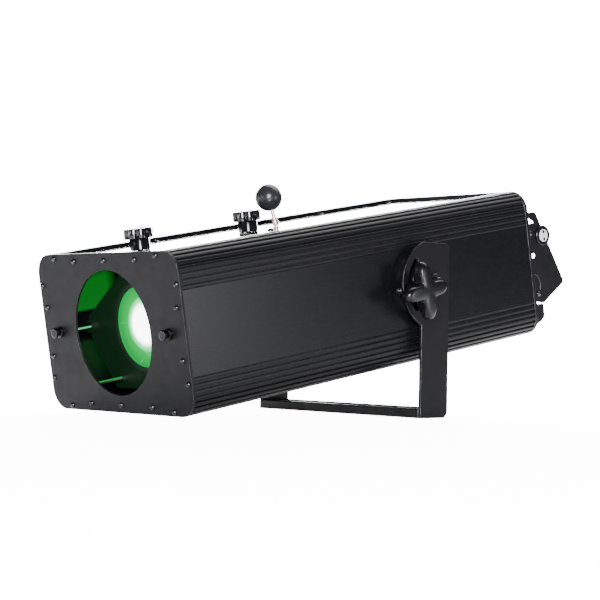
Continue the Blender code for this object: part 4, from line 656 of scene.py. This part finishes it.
def rib_tree():
    """Round-crested ribs spaced evenly along a spine, on the wall behind them."""
    inputs = {"Ribs": "Int", "Rib width": "Float", "Rib depth": "Float", "Edge round": "Float"}
    tree = Growth("Ribs", {**inputs, "Length": "Float", "Wall": "Object"})
    depth = tree.given["Rib depth"]
    spine = tree.node("GeometryNodeMeshToCurve", {"Mesh": tree.given["Geometry"]})
    spaced = tree.node("GeometryNodeResampleCurve", {"Curve": spine, "Count": tree.given["Ribs"]})
    inputs = {"Width": tree.given["Rib width"], "Height": depth}
    section = tree.node("GeometryNodeCurvePrimitiveQuadrilateral", inputs)
    inputs = {"Curve": section, "Radius": tree.given["Edge round"], "Count": 3}
    eased = tree.node("GeometryNodeFilletCurve", inputs, mode="POLY")
    sunk = tree.moved(eased, "Y", tree.sums("MULTIPLY", depth, -0.5))
    filled = tree.node("GeometryNodeFillCurve", {"Curve": sunk}, mode="NGONS")
    length = tree.node("ShaderNodeCombineXYZ", {"Z": tree.given["Length"]})
    inputs = {"Mesh": filled, "Offset": length, "Individual": False, "Offset Scale": 1.0}
    drawn = tree.node("GeometryNodeExtrudeMesh", inputs)
    bar = tree.joined(drawn, tree.node("GeometryNodeFlipFaces", {"Mesh": filled}))
    whole = tree.node("GeometryNodeMergeByDistance", {"Geometry": bar, "Distance": 1e-6})
    laid = tree.node("GeometryNodeTransform", {"Geometry": whole, "Rotation": (-pi / 2, 0, 0)})
    inputs = {"Vector": tree.node("GeometryNodeInputTangent")}
    turn = tree.node("FunctionNodeAlignRotationToVector", inputs, axis="X", pivot_axis="Y")
    inputs = {"Points": spaced, "Instance": laid, "Rotation": turn}
    ribs = tree.node("GeometryNodeInstanceOnPoints", inputs)
    wall = tree.node("GeometryNodeObjectInfo", {"Object": tree.given["Wall"]})
    return tree.end(tree.joined(ribs, wall.outputs["Geometry"]))


def screws(name, places, sizes, turn, kind="Domed screw", place=HOUSING):
    """Screws at those places, as one piece. Their sizes: head radius, head height, key hole radius."""
    radius, height, key = sizes
    values = {"Head radius": radius, "Head height": height, "Key radius": key, "Turn": turn}
    return trimmed(screw_tree().grow(name, places, [], values, kind, place))


def in_four(quarter, y):
    """Places on a plate across the housing: each of one quarter's, also mirrored to the other three."""
    return [(side * x, y, level * z) for x, z in quarter for _, side in SIDES for level in (1, -1)]


# Sizes and colours that a user may change

def length(name, description, default):
    return FloatProperty(name=name, description=description, default=default, unit="LENGTH", precision=4)


def colour(name, description, *default):
    return FloatVectorProperty(
        name=name, description=description, default=default, subtype="COLOR", size=3, min=0, max=1
    )


class FollowspotSizes(bpy.types.PropertyGroup):
    rib_count: IntProperty(name="Ribs", description="Ribs round each corner", default=10, min=2, max=24)
    rib_width: length("Rib width", "Width of a rib crest", 0.0046)
    rib_depth: length("Rib depth", "Depth between ribs", 0.0022)
    screw_radius: length("Screw head", "Radius of the front plate's screw heads", 0.0035)
    edge_round: length("Edge round", "Rounding of edges", 0.0004)
    scallops: IntProperty(name="Scallops", description="Scallops on a focus knob", default=8, min=3, max=30)
    floor_radius: length("Floor radius", "Floor's radius", 14.0)


class FollowspotColours(bpy.types.PropertyGroup):
    paint: colour("Paint", "Coat of plates and yoke", 0.0063, 0.006, 0.0075)
    shell: colour("Shell", "Anodised shell and panels", 0.0042, 0.0044, 0.0054)
    plastic: colour("Plastic", "Moulded knobs and ball", 0.006, 0.006, 0.0075)
    pale: colour("Pale plastic", "Handle caps and buttons", 0.72, 0.73, 0.75)
    steel: colour("Steel", "Bright rods and fittings", 0.72, 0.7, 0.69)
    beam: colour("Beam", "Colour of the light in the lens", 0.0, 0.8, 0.12)
    beam_strength: FloatProperty(name="Beam strength", description="Lens brightness", default=9.0, min=0)
    floor: colour("Floor", "Pale floor", 0.93, 0.93, 0.94)


# Makers of the pieces

class Maker(bpy.types.Operator):
    """Makes one group of pieces"""

    bl_idname = "followspot.maker"
    bl_label = "Make"

    def execute(self, context):
        self.make(context.scene.followspot_sizes)
        return {"FINISHED"}

    def make(self, sizes):
        raise NotImplementedError(self.bl_label)


BEND_X = HALF_WIDTH - CORNER_RADIUS
BEND_Z = HALF_HEIGHT - CORNER_RADIUS
RIB_EDGE_ROUND = 0.0009


def corner_bend(reach_x, reach_z, steps):
    """Points round the upper right corner's bend, from the side panel to the top panel."""
    turns = [pi / 2 * step / steps for step in range(steps + 1)]
    return [(BEND_X + reach_x * cos(turn), BEND_Z + reach_z * sin(turn)) for turn in turns]


class MakeCorners(Maker):
    """Four corner extrusions with round-crested ribs and a lip behind each panel"""

    bl_idname = "followspot.corners"
    bl_label = "Corner extrusions"

    def make(self, sizes):
        depth = sizes.rib_depth
        half_rib = sizes.rib_width / 2
        bend = corner_bend(CORNER_RADIUS, CORNER_RADIUS, 10)
        spine = [(HALF_WIDTH, SIDE_EDGE_Z + half_rib), *bend, (TOP_EDGE_X + half_rib, HALF_HEIGHT)]
        inner_x = LIP_SIDE_X - WALL
        inner_z = LIP_TOP_Z - WALL
        section = [
            (HALF_WIDTH - depth, SIDE_EDGE_Z),
            *corner_bend(CORNER_RADIUS - depth, CORNER_RADIUS - depth, 10),
            (TOP_EDGE_X, HALF_HEIGHT - depth),
            (TOP_EDGE_X, LIP_TOP_Z),
            (TOP_EDGE_X - LIP_WIDTH, LIP_TOP_Z),
            (TOP_EDGE_X - LIP_WIDTH, inner_z),
            *reversed(corner_bend(inner_x - BEND_X, inner_z - BEND_Z, 8)),
            (inner_x, SIDE_EDGE_Z - LIP_WIDTH),
            (LIP_SIDE_X, SIDE_EDGE_Z - LIP_WIDTH),
            (LIP_SIDE_X, SIDE_EDGE_Z),
        ]
        shape = ringed([[(x, y, z) for x, z in section] for y in (SHELL_FRONT, SHELL_BACK)])
        wall = link("corner_wall", shape, "Ribbed shell", UNMOVED)
        points = [(x, SHELL_FRONT, z) for x, z in spine]
        edges = [(index, index + 1) for index in range(len(points) - 1)]
        values = {
            "Ribs": sizes.rib_count,
            "Rib width": sizes.rib_width,
            "Rib depth": depth + GAP,
            "Edge round": RIB_EDGE_ROUND,
            "Length": SHELL_BACK - SHELL_FRONT,
            "Wall": wall,
        }
        ribs = rib_tree()
        for side_name, side in SIDES:
            for level_name, level in (("upper", 1), ("lower", -1)):
                corner = f"corner_{level_name}_{side_name}"
                place = HOUSING @ Matrix.Diagonal((side, 1, level, 1))
                made = ribs.grow(f"ribbed_{corner}", points, edges, values, "Ribbed shell", place)
                shape = bmesh.new()
                shape.from_mesh(made.data)
                bmesh.ops.recalc_face_normals(shape, faces=shape.faces)
                shape.to_mesh(made.data)
                shape.free()
                mounted(made, corner)
        bpy.data.objects.remove(wall)


class MakePanels(Maker):
    """Side, top and bottom panels with their screws"""

    bl_idname = "followspot.panels"
    bl_label = "Panels"

    def make(self, sizes):
        for name, _ in SIDES:
            softened(f"side_panel_{name}", "Side panel coat")
        softened("top_panel", "Top panel coat")
        softened("bottom_panel", "Side panel coat")
        column_x = 0.095
        rows = (0.02, 0.15, 0.29, 0.43, 0.558)
        places = [(side * column_x, y, TOP_FACE_Z) for _, side in SIDES for y in rows]
        screws("top_screws", places, (0.0028, 0.0014, 0.0012), UPWARDS, "Blackened steel")
        stop = (0.0045, 0.0026, 0.0012)
        screws("carriage_stop", [(0.032, 0.231, TOP_FACE_Z)], stop, UPWARDS, "Satin knob")


class MakeFront(Maker):
    """Front plate with its aperture and its ring of domed screws"""

    bl_idname = "followspot.front"
    bl_label = "Front plate"

    def make(self, sizes):
        softened("front_plate", "Powder coat", sizes.edge_round, 3, rubbed=True)
        places = in_four([(0.102, 0.0895), (0.061, 0.0855), (0.134, 0.0565), (0.1295, 0.03)], 0)
        places += [(0, 0, 0.0855), (0, 0, -0.0855)]
        radius = sizes.screw_radius
        screws("front_screws", places, (radius, radius * 0.9, radius * 0.25), FORWARDS)


class MakeYoke(Maker):
    """Flat base bar, the two arms with their curved slots, and the trunnions inside the housing"""

    bl_idname = "followspot.yoke"
    bl_label = "Yoke"

    def make(self, sizes):
        width = sizes.edge_round * 2
        forwards = Vector((0, -1, 0))
        softened("yoke_base", "Yoke coat", width, 3, rubbed=True)
        for name, _ in SIDES:
            # Only the arms' edges that face forwards take the worn bright finish with its painted highlight
            softened(f"yoke_arm_{name}", "Yoke coat", width, 3, True, forwards)
            softened(f"trunnion_{name}", "Polished steel")


PIVOT_END_X = 0.1361
WASHER = 0.0015
BOLT_HEAD = 0.006
LOBES = 4
LOBE_TURN = radians(4)
LOBE_TIP = 0.036
LOBE_WAIST = 0.0158
KNOB_THICKNESS = 0.015
KNOB_BOSS_RADIUS = 0.012
KNOB_BOSS_HEIGHT = 0.0175
KNOB_BORE = 0.0033
KNOB_BORE_DEPTH = 0.01
LOCK_PLACE = (0.339944, -0.0019868)


def lobed(inwards):
    """A radius that goes out and in with the knob's four lobes, drawn in by that much."""

    def radius(angle):
        swell = ((1 + cos(LOBES * (angle - LOBE_TURN))) / 2) ** 1.2
        return LOBE_WAIST + (LOBE_TIP - LOBE_WAIST) * swell - inwards * (0.35 + 0.65 * swell)

    return radius


class MakePivots(Maker):
    """Pivot bolts and the four-lobed tilt locks"""

    bl_idname = "followspot.pivots"
    bl_label = "Pivots and tilt locks"

    def make(self, sizes):
        seat = ARM_OUTER_X + GAP
        washer = seat + WASHER
        head = washer + BOLT_HEAD
        bolt = [
            (0, head), (0.003, head), (0.003, head - 0.002), (0.0038, head - 0.002), (0.0038, head),
            (0.0078, head), (0.0086, head - 0.0006), (0.009, head - 0.0016), (0.009, washer),
            (0.0125, washer), (0.013, washer - 0.0005), (0.013, seat), (0.005, seat), (0.005, PIVOT_END_X),
            (0, PIVOT_END_X),
        ]
        inner = seat + KNOB_BOSS_HEIGHT
        outer = inner + KNOB_THICKNESS
        knob = [
            (0, seat + KNOB_BORE_DEPTH), (KNOB_BORE, seat + KNOB_BORE_DEPTH), (KNOB_BORE, seat),
            (KNOB_BOSS_RADIUS - 0.0006, seat), (KNOB_BOSS_RADIUS, seat + 0.0006), (KNOB_BOSS_RADIUS, inner),
            (lobed(0.0042), inner), (lobed(0.0022), inner + 0.0006), (lobed(0.0007), inner + 0.0022),
            (lobed(0), inner + 0.004),
        ]
        for step in range(13):
            angle = radians(7.5 * step)
            knob.append((lobed(0.009 * (1 - cos(angle))), outer - 0.008 * (1 - sin(angle))))
        knob += [(lobed(0.0125), outer + 0.0003), (0.005, outer + 0.0006), (0, outer + 0.0006)]
        for name, side in SIDES:
            centre = (0, PIVOT_FROM_FRONT, 0)
            made = turned(f"pivot_{name}_turned", "Blackened steel", bolt, "X", centre, 48, side)
            mounted(made, f"pivot_bolt_{name}")
            lock = f"tilt_lock_{name}"
            values = (knob, "X", (0, *LOCK_PLACE), 128, side, HOUSING, MOULDED_ANGLE)
            mounted(turned(f"{lock}_moulded", "Satin knob", *values), lock)


class MakeRods(Maker):
    """Guide rods and the spools on the ends of the upper two"""

    bl_idname = "followspot.rods"
    bl_label = "Guide rods"

    def make(self, sizes):
        upper_rod_x = 0.1085
        rod_end = 0.2924
        levels = [
            (0, -0.01), (0.0022, -0.01), (0.0024, -0.0085), (0.0028, -0.0085), (0.003, -0.01),
            (0.0054, -0.01), (0.0064, -0.0094), (0.0065, -0.0075), (0.0062, -0.0072), (0.0046, -0.0066),
            (0.0045, -0.0036), (0.0062, -0.003), (0.0068, -0.0027), (0.007, -0.0022), (0.007, -0.0003),
            (0.004, -0.0003), (0.004, rod_end), (0, rod_end),
        ]
        for name, side in SIDES:
            rod = f"upper_rod_{name}"
            centre = (side * upper_rod_x, 0, 0)
            mounted(turned(f"{rod}_turned", "Upper guide bar", levels, "Y", centre, 48), rod)
            softened(f"lower_rod_{name}", "Lower guide bar", 0.0004)


class MakeCarriages(Maker):
    """Lens carriages with their lenses"""

    bl_idname = "followspot.carriages"
    bl_label = "Lens carriages"

    def make(self, sizes):
        softened("front_carriage", "Carriage coat")
        softened("rear_carriage", "Carriage coat")
        edge = 0.0003
        radius = 0.0505
        clear_radius = radius - 0.002 - GAP
        rim = 0.005
        crown = 0.007
        seat_from_carriage = GAP - 0.011
        rings = 24
        for name, rest_y, kind in (
            ("front", FRONT_CARRIAGE_Y, "Lit lens"), ("rear", REAR_CARRIAGE_Y, "Optic glass"),
        ):
            seat = rest_y + seat_from_carriage
            back = seat + rim
            levels = [(0, back), (radius - edge, back), (radius, back - edge), (radius, seat)]
            for step in range(rings):
                share = cos(pi / 2 * step / rings)
                levels.append((clear_radius * share, seat - crown * (1 - share ** 2)))
            levels.append((0, seat - crown))
            made = turned(f"{name}_lens_ground", kind, levels, "Y", (0, 0, 0), 96)
            mounted(made, f"{name}_lens")


class MakeFocusKnobs(Maker):
    """Scalloped focus lock knobs on their collars"""

    bl_idname = "followspot.focus_knobs"
    bl_label = "Focus knobs"

    def make(self, sizes):
        count = sizes.scallops

        def wavy(radius, dip):
            return lambda angle: radius - dip * (1 - abs(sin(count * angle / 2)))

        base = TOP_FACE_Z + GAP
        head = base + 0.0135
        top = head + 0.0125
        levels = [
            (0, base + 0.004), (0.0033, base + 0.004), (0.0033, base + 0.0002), (0.0115, base),
            (0.0121, base + 0.0006), (0.0121, head - 0.0002), (0.0122, head), (0.015, head),
            (wavy(0.0174, 0.002), head + 0.0003), (wavy(0.018, 0.0022), head + 0.001),
            (wavy(0.018, 0.0022), top - 0.0016), (wavy(0.0176, 0.002), top - 0.0006),
            (wavy(0.0166, 0.0016), top), (0.0128, top), (0.012, top - 0.0006), (0, top - 0.0006),
        ]
        for name, rest_y in (("front", FRONT_CARRIAGE_Y), ("rear", REAR_CARRIAGE_Y)):
            knob = f"{name}_focus_knob"
            mounted(turned(f"{knob}_moulded", "Moulded knob", levels, "Z", (0, rest_y, 0), 128), knob)


class MakeIris(Maker):
    """Gate plate, six blades, the lever's ring and rod, and its ball"""

    bl_idname = "followspot.iris"
    bl_label = "Iris"

    def make(self, sizes):
        softened("gate_plate", "Carriage coat")
        softened("iris_lever", "Lever rod", 0.0002)
        for blade in range(1, 7):
            wears(f"iris_blade_{blade}", "Blackened steel")
        lever_y = 0.285
        lean = Matrix.Rotation(radians(-12.6), 4, "Y")
        axis = HOUSING @ Matrix.Translation((0, lever_y, 0)) @ lean
        centre = 0.1305
        radius = 0.0172
        bore = 0.0028
        bore_end = centre - radius + 0.0053
        start = -pi / 2 + 0.215
        steps = 40
        levels = [(0, bore_end), (bore, bore_end), (bore, centre - 0.01685)]
        for step in range(steps + 1):
            angle = start + (pi / 2 - start) * step / steps
            levels.append((radius * cos(angle), centre + radius * sin(angle)))
        name = "lever_ball_polished"
        made = turned(name, "Lever ball", levels, "Z", (0, 0, 0), 72, place=axis, smooth=MOULDED_ANGLE)
        mounted(made, "lever_ball")


class MakeOptics(Maker):
    """Colour wheel with its motor, and the lamp module"""

    bl_idname = "followspot.optics"
    bl_label = "Colour wheel and lamp"

    def make(self, sizes):
        softened("colour_motor", "Blackened steel", 0.0004)
        softened("colour_wheel_hub", "Bare aluminium", 0.0002)
        wears("colour_glass", "Colour glass")
        softened("lamp_module", "Bare aluminium", 0.0004)


class MakeCooling(Maker):
    """Heat sink, fan and power supply"""

    bl_idname = "followspot.cooling"
    bl_label = "Cooling and power supply"

    def make(self, sizes):
        softened("heat_sink", "Bare aluminium")
        softened("fan_frame", "Matt moulding", 0.0004)
        softened("fan_rotor", "Matt moulding")
        softened("power_supply", "Bare aluminium", 0.0006)


CHEEK_FACE = 0.13
CHEEK_SCREWS = [(CHEEK_FACE, 0.592, 0.037), (CHEEK_FACE, 0.5966, -0.0443)]
CLIP_BENDS = [
    (0.5919, -0.0169), (0.5975, -0.02), (0.6014, -0.0263), (0.602, -0.033), (0.6004, -0.0395),
]
CLIP_RADIUS = 0.0009
HANDLE_Y = REAR_FACE + 0.0339
HANDLE_Z = 0.0315
HANDLE_END = 0.1301
HANDLE_RADIUS = 0.01
CAP_FACE = 0.1328
STUD_FROM_MIDDLE = 0.0048


class MakeRear(Maker):
    """Rear plate, cheeks, handle bar with its caps, lower cover and rear screws"""

    bl_idname = "followspot.rear"
    bl_label = "Rear plates and handle"

    def make(self, sizes):
        softened("rear_plate", "Powder coat", 0.0005, 3, rubbed=True)
        softened("lower_cover", "Powder coat")
        cap = [(0, 0), (0.0124, 0), (0.0131, -0.0005), (0.0134, -0.0012), (0.0134, -0.0025), (0, -0.0025)]
        disc = [(0, 0.0006), (0.0076, 0.0006), (0.0082, 0.0002), (0.0082, -0.0004), (0, -0.0004)]
        stud = [(0, 0.0012), (0.0017, 0.0011), (0.0022, 0.0006), (0.0022, 0.0003), (0, 0.0003)]
        for name, side in SIDES:
            place = HOUSING @ Matrix.Diagonal((side, 1, 1, 1))
            heads = (0.0036, 0.0024, 0.0012)
            made = screws(f"cheek_screws_{name}", CHEEK_SCREWS, heads, OUTWARDS, place=place)
            if side == LEFT:
                made.data.flip_normals()
            softened(f"cheek_{name}", "Powder coat", sizes.edge_round, rubbed=True)
            middle = (side * CAP_FACE, HANDLE_Y, HANDLE_Z)
            made = turned(f"handle_cap_{name}", "Satin knob", cap, "X", middle, 64, side)
            trimmed(made)
            made = turned(f"handle_disc_{name}", "Handle cap disc", disc, "X", middle, 64, side)
            trimmed(made)
            for number, level in ((3, 1), (1, -1)):
                centre = (side * CAP_FACE, HANDLE_Y, HANDLE_Z + STUD_FROM_MIDDLE * level)
                stud_name = f"handle_stud_{name}_{number}"
                trimmed(turned(stud_name, "Blackened steel", stud, "X", centre, 24, side))
            clip = [(side * CHEEK_FACE, y, z) for y, z in CLIP_BENDS]
            trimmed(bent_wire(f"cheek_clip_{name}", "Blackened steel", clip, CLIP_RADIUS))
        bar = [(0, -HANDLE_END), (HANDLE_RADIUS, -HANDLE_END), (HANDLE_RADIUS, HANDLE_END), (0, HANDLE_END)]
        made = turned("handle_bar_turned", "Matt moulding", bar, "X", (0, HANDLE_Y, HANDLE_Z))
        mounted(made, "handle_bar")
        top_row = 0.0865
        places = in_four([(0.102, top_row), (0.134, 0.0555), (0.1335, 0.01)], REAR_FACE)
        places += [(x, REAR_FACE, top_row) for x in (0, 0.05, -0.05)]
        screws("rear_screws", places, (0.0031, 0.0022, 0.0013), REARWARDS)


# The console face's own axes: x across, y down the face and z out of it
CONSOLE_FACE = Matrix((
    (1, 0, 0, 0),
    (0, 0.55173, 0.83402, 0.24837),
    (0, -0.83402, 0.55173, 0.198117),
    (0, 0, 0, 1),
))
BUTTONS = 4
FIRST_BUTTON_X = 0.01
BUTTON_PITCH = 0.014
BUTTON_Y = 0.013
DIALS = 2
FIRST_DIAL_X = -0.063
DIAL_PITCH = 0.03
KNURLS = 24


class MakeConsole(Maker):
    """Console box with its display, buttons and dials"""

    bl_idname = "followspot.console"
    bl_label = "Console"

    def make(self, sizes):
        softened("console_box", "Powder coat")
        size = (0.0592, 0.0172, 0.0009)
        made = boxed("display_pane", "Display", size, (0.031, -0.013, -0.0002), 0.0002, CONSOLE_FACE)
        trimmed(made)
        button = [
            (0, 0.0022), (0.0026, 0.0023), (0.0034, 0.0025), (0.0038, 0.0022), (0.004, 0.0017),
            (0.004, -0.0023), (0.0055, -0.0023), (0.0055, -0.0038), (0, -0.0038),
        ]
        for index in range(BUTTONS):
            name = f"button_{index + 1}"
            centre = (FIRST_BUTTON_X + BUTTON_PITCH * index, BUTTON_Y, 0)
            made = turned(f"{name}_moulded", "Pale moulding", button, "Z", centre, 40, place=CONSOLE_FACE)
            mounted(made, name)

        def knurled(radius, dip):
            return lambda angle: radius - dip * (0.5 + 0.5 * cos(KNURLS * angle))

        dial = [
            (0, 0.0123), (0.0072, 0.0123), (0.008, 0.0119), (knurled(0.0088, 0.0003), 0.0108),
            (knurled(0.0098, 0.0005), 0.002), (0.01, 0.0014), (0.01, 0.0003), (0.003, 0.0003),
            (0.003, -0.009), (0, -0.009),
        ]
        pointer = (0.0008, 0.0055, 0.0005)
        for index in range(DIALS):
            name = f"dial_{index + 1}"
            x = FIRST_DIAL_X + DIAL_PITCH * index
            made = turned(f"{name}_moulded", "Matt moulding", dial, "Z", (x, 0, 0), 144, place=CONSOLE_FACE)
            mounted(made, name)
            centre = (x, -0.0042, 0.01245)
            made = boxed(f"{name}_pointer", "Pale moulding", pointer, centre, 0.0001, CONSOLE_FACE)
            trimmed(made, name)


INLET_PINS = {1145: -0.003, 1075: 0.004, 1005: -0.003}
INLET_Z = -0.024
SOCKET_X = 0.1075
SOCKET_Z = -0.012
SOCKETS_HALF_PITCH = 0.016
SOCKET_PINS = 5
PIN_CIRCLE = 0.0048


class MakeSockets(Maker):
    """Power inlet, data sockets with their contacts, and the switch"""

    bl_idname = "followspot.sockets"
    bl_label = "Sockets and switch"

    def make(self, sizes):
        softened("power_inlet", "Matt moulding")
        softened("data_sockets", "Blackened steel")
        softened("power_switch", "Moulded knob")
        size = (0.002, 0.01, 0.004)
        for number, rise in INLET_PINS.items():
            centre = (-number / 10000, REAR_FACE - 0.0055, INLET_Z + rise)
            trimmed(boxed(f"inlet_contact_{number}", "Brass", size, centre, 0.0004))
        pin = [(0, 0.0), (0.0009, 0.0), (0.0009, 0.0085), (0.0004, 0.0095), (0, 0.0095)]
        for level in (1, -1):
            for index in range(SOCKET_PINS):
                angle = pi / 2 + tau * index / SOCKET_PINS
                x = SOCKET_X + PIN_CIRCLE * cos(angle)
                z = SOCKET_Z + SOCKETS_HALF_PITCH * level + PIN_CIRCLE * sin(angle)
                name = f"data_pin_{level + 2}_{index}"
                made = turned(name, "Brass", pin, "Y", (x, REAR_FACE - 0.0116, z), 16)
                trimmed(made)


# Name, place, width, height and radiance of each light
LIGHTS = (
    ("backdrop", (-2.5, 2.1, 0.85), 3.8, 1.7, 40.0),
    ("high back", (0.1, 2.1, 2.35), 3.2, 1.2, 2.0),
    ("above the nose", (-0.35, 0.85, 2.35), 2.2, 0.9, 6.0),
    ("side", (2.2, 0.95, 0.2), 0.4, 0.5, 12.5),
    ("low front", (-2.6, -2.4, 0.15), 1.6, 0.3, 6.5),
    ("front", (-0.55, -3.2, 0.45), 0.4, 0.5, 14.0),
    ("by the camera", (2.5, -2.1, 0.75), 0.9, 1.1, 60.0),
)
LIGHTS_AIM = Vector((0, -0.05, 0.15))
SKY_ON_OBJECT = 0.08
SKY_SEEN = 17.0
LENS_LENGTH = 111.57
SENSOR_WIDTH = 36
CAMERA_PLACE = (1.781, -1.63845, 0.1076)
CAMERA_RIGHT = Vector((0.65658, 0.75409, 0.01595))
CAMERA_UP = Vector((0.00135, -0.02232, 0.99975))
CAMERA_FORWARD = Vector((-0.75425, 0.6564, 0.01568))


class MakeStage(Maker):
    """Pale floor, soft light and the camera"""

    bl_idname = "followspot.stage"
    bl_label = "Stage"

    def make(self, sizes):
        shape = bmesh.new()
        bmesh.ops.create_circle(shape, cap_ends=True, radius=sizes.floor_radius, segments=96)
        link("floor", shape, "Floor paper", UNMOVED)
        for name, place, width, height, radiance in LIGHTS:
            light = bpy.data.lights.new(name, "AREA")
            light.shape = "RECTANGLE"
            light.size = width
            light.size_y = height
            light.energy = radiance * pi * width * height
            made = added(f"{name}_light", light)
            made.visible_camera = False
            made.location = place
            made.rotation_euler = (LIGHTS_AIM - Vector(place)).to_track_quat("-Z", "Y").to_euler()
        world = bpy.data.worlds.new("Pale surroundings")
        world.use_nodes = True
        sky = NodeMaker(world.node_tree)
        lit = sky.tree.nodes["Background"]
        sky.give(lit.inputs["Color"], (0.96, 0.97, 1.0, 1))
        sky.give(lit.inputs["Strength"], SKY_ON_OBJECT)
        seen = sky.node("ShaderNodeBackground", {"Color": (1, 1, 1, 1), "Strength": SKY_SEEN})
        by_camera = sky.node("ShaderNodeLightPath").outputs["Is Camera Ray"]
        chosen = sky.node("ShaderNodeMixShader", {0: by_camera, 1: lit, 2: seen})
        sky.give(sky.tree.nodes["World Output"].inputs["Surface"], chosen)
        scene = bpy.context.scene
        scene.world = world
        camera = bpy.data.cameras.new("camera")
        camera.lens = LENS_LENGTH
        camera.sensor_width = SENSOR_WIDTH
        seat = added("camera", camera)
        turn = Matrix((CAMERA_RIGHT, CAMERA_UP, -CAMERA_FORWARD)).transposed().to_4x4()
        seat.matrix_world = Matrix.Translation(CAMERA_PLACE) @ turn
        scene.camera = seat


MAKERS = (
    MakeCorners, MakePanels, MakeFront, MakeYoke, MakePivots, MakeRods, MakeCarriages, MakeFocusKnobs,
    MakeIris, MakeOptics, MakeCooling, MakeRear, MakeConsole, MakeSockets, MakeStage,
)


class FollowspotPanel(bpy.types.Panel):
    """Lists the followspot's sizes, colours and makers"""

    bl_idname = "VIEW3D_PT_followspot"
    bl_label = "Followspot"
    bl_space_type = "VIEW_3D"
    bl_region_type = "UI"
    bl_category = "Followspot"

    def draw(self, context):
        for group in (context.scene.followspot_sizes, context.scene.followspot_colours):
            for label in group.__annotations__:
                self.layout.prop(group, label)
        for maker in MAKERS:
            self.layout.operator(maker.bl_idname)


CLASSES = (FollowspotSizes, FollowspotColours, *MAKERS, FollowspotPanel)


def register():
    for made in CLASSES:
        bpy.utils.register_class(made)
    bpy.types.Scene.followspot_sizes = PointerProperty(type=FollowspotSizes)
    bpy.types.Scene.followspot_colours = PointerProperty(type=FollowspotColours)


def unregister():
    del bpy.types.Scene.followspot_colours
    del bpy.types.Scene.followspot_sizes
    for made in reversed(CLASSES):
        bpy.utils.unregister_class(made)


def main():
    register()
    for maker in MAKERS:
        group, name = maker.bl_idname.split(".")
        getattr(getattr(bpy.ops, group), name)()


if __name__ == "__main__":
    main()
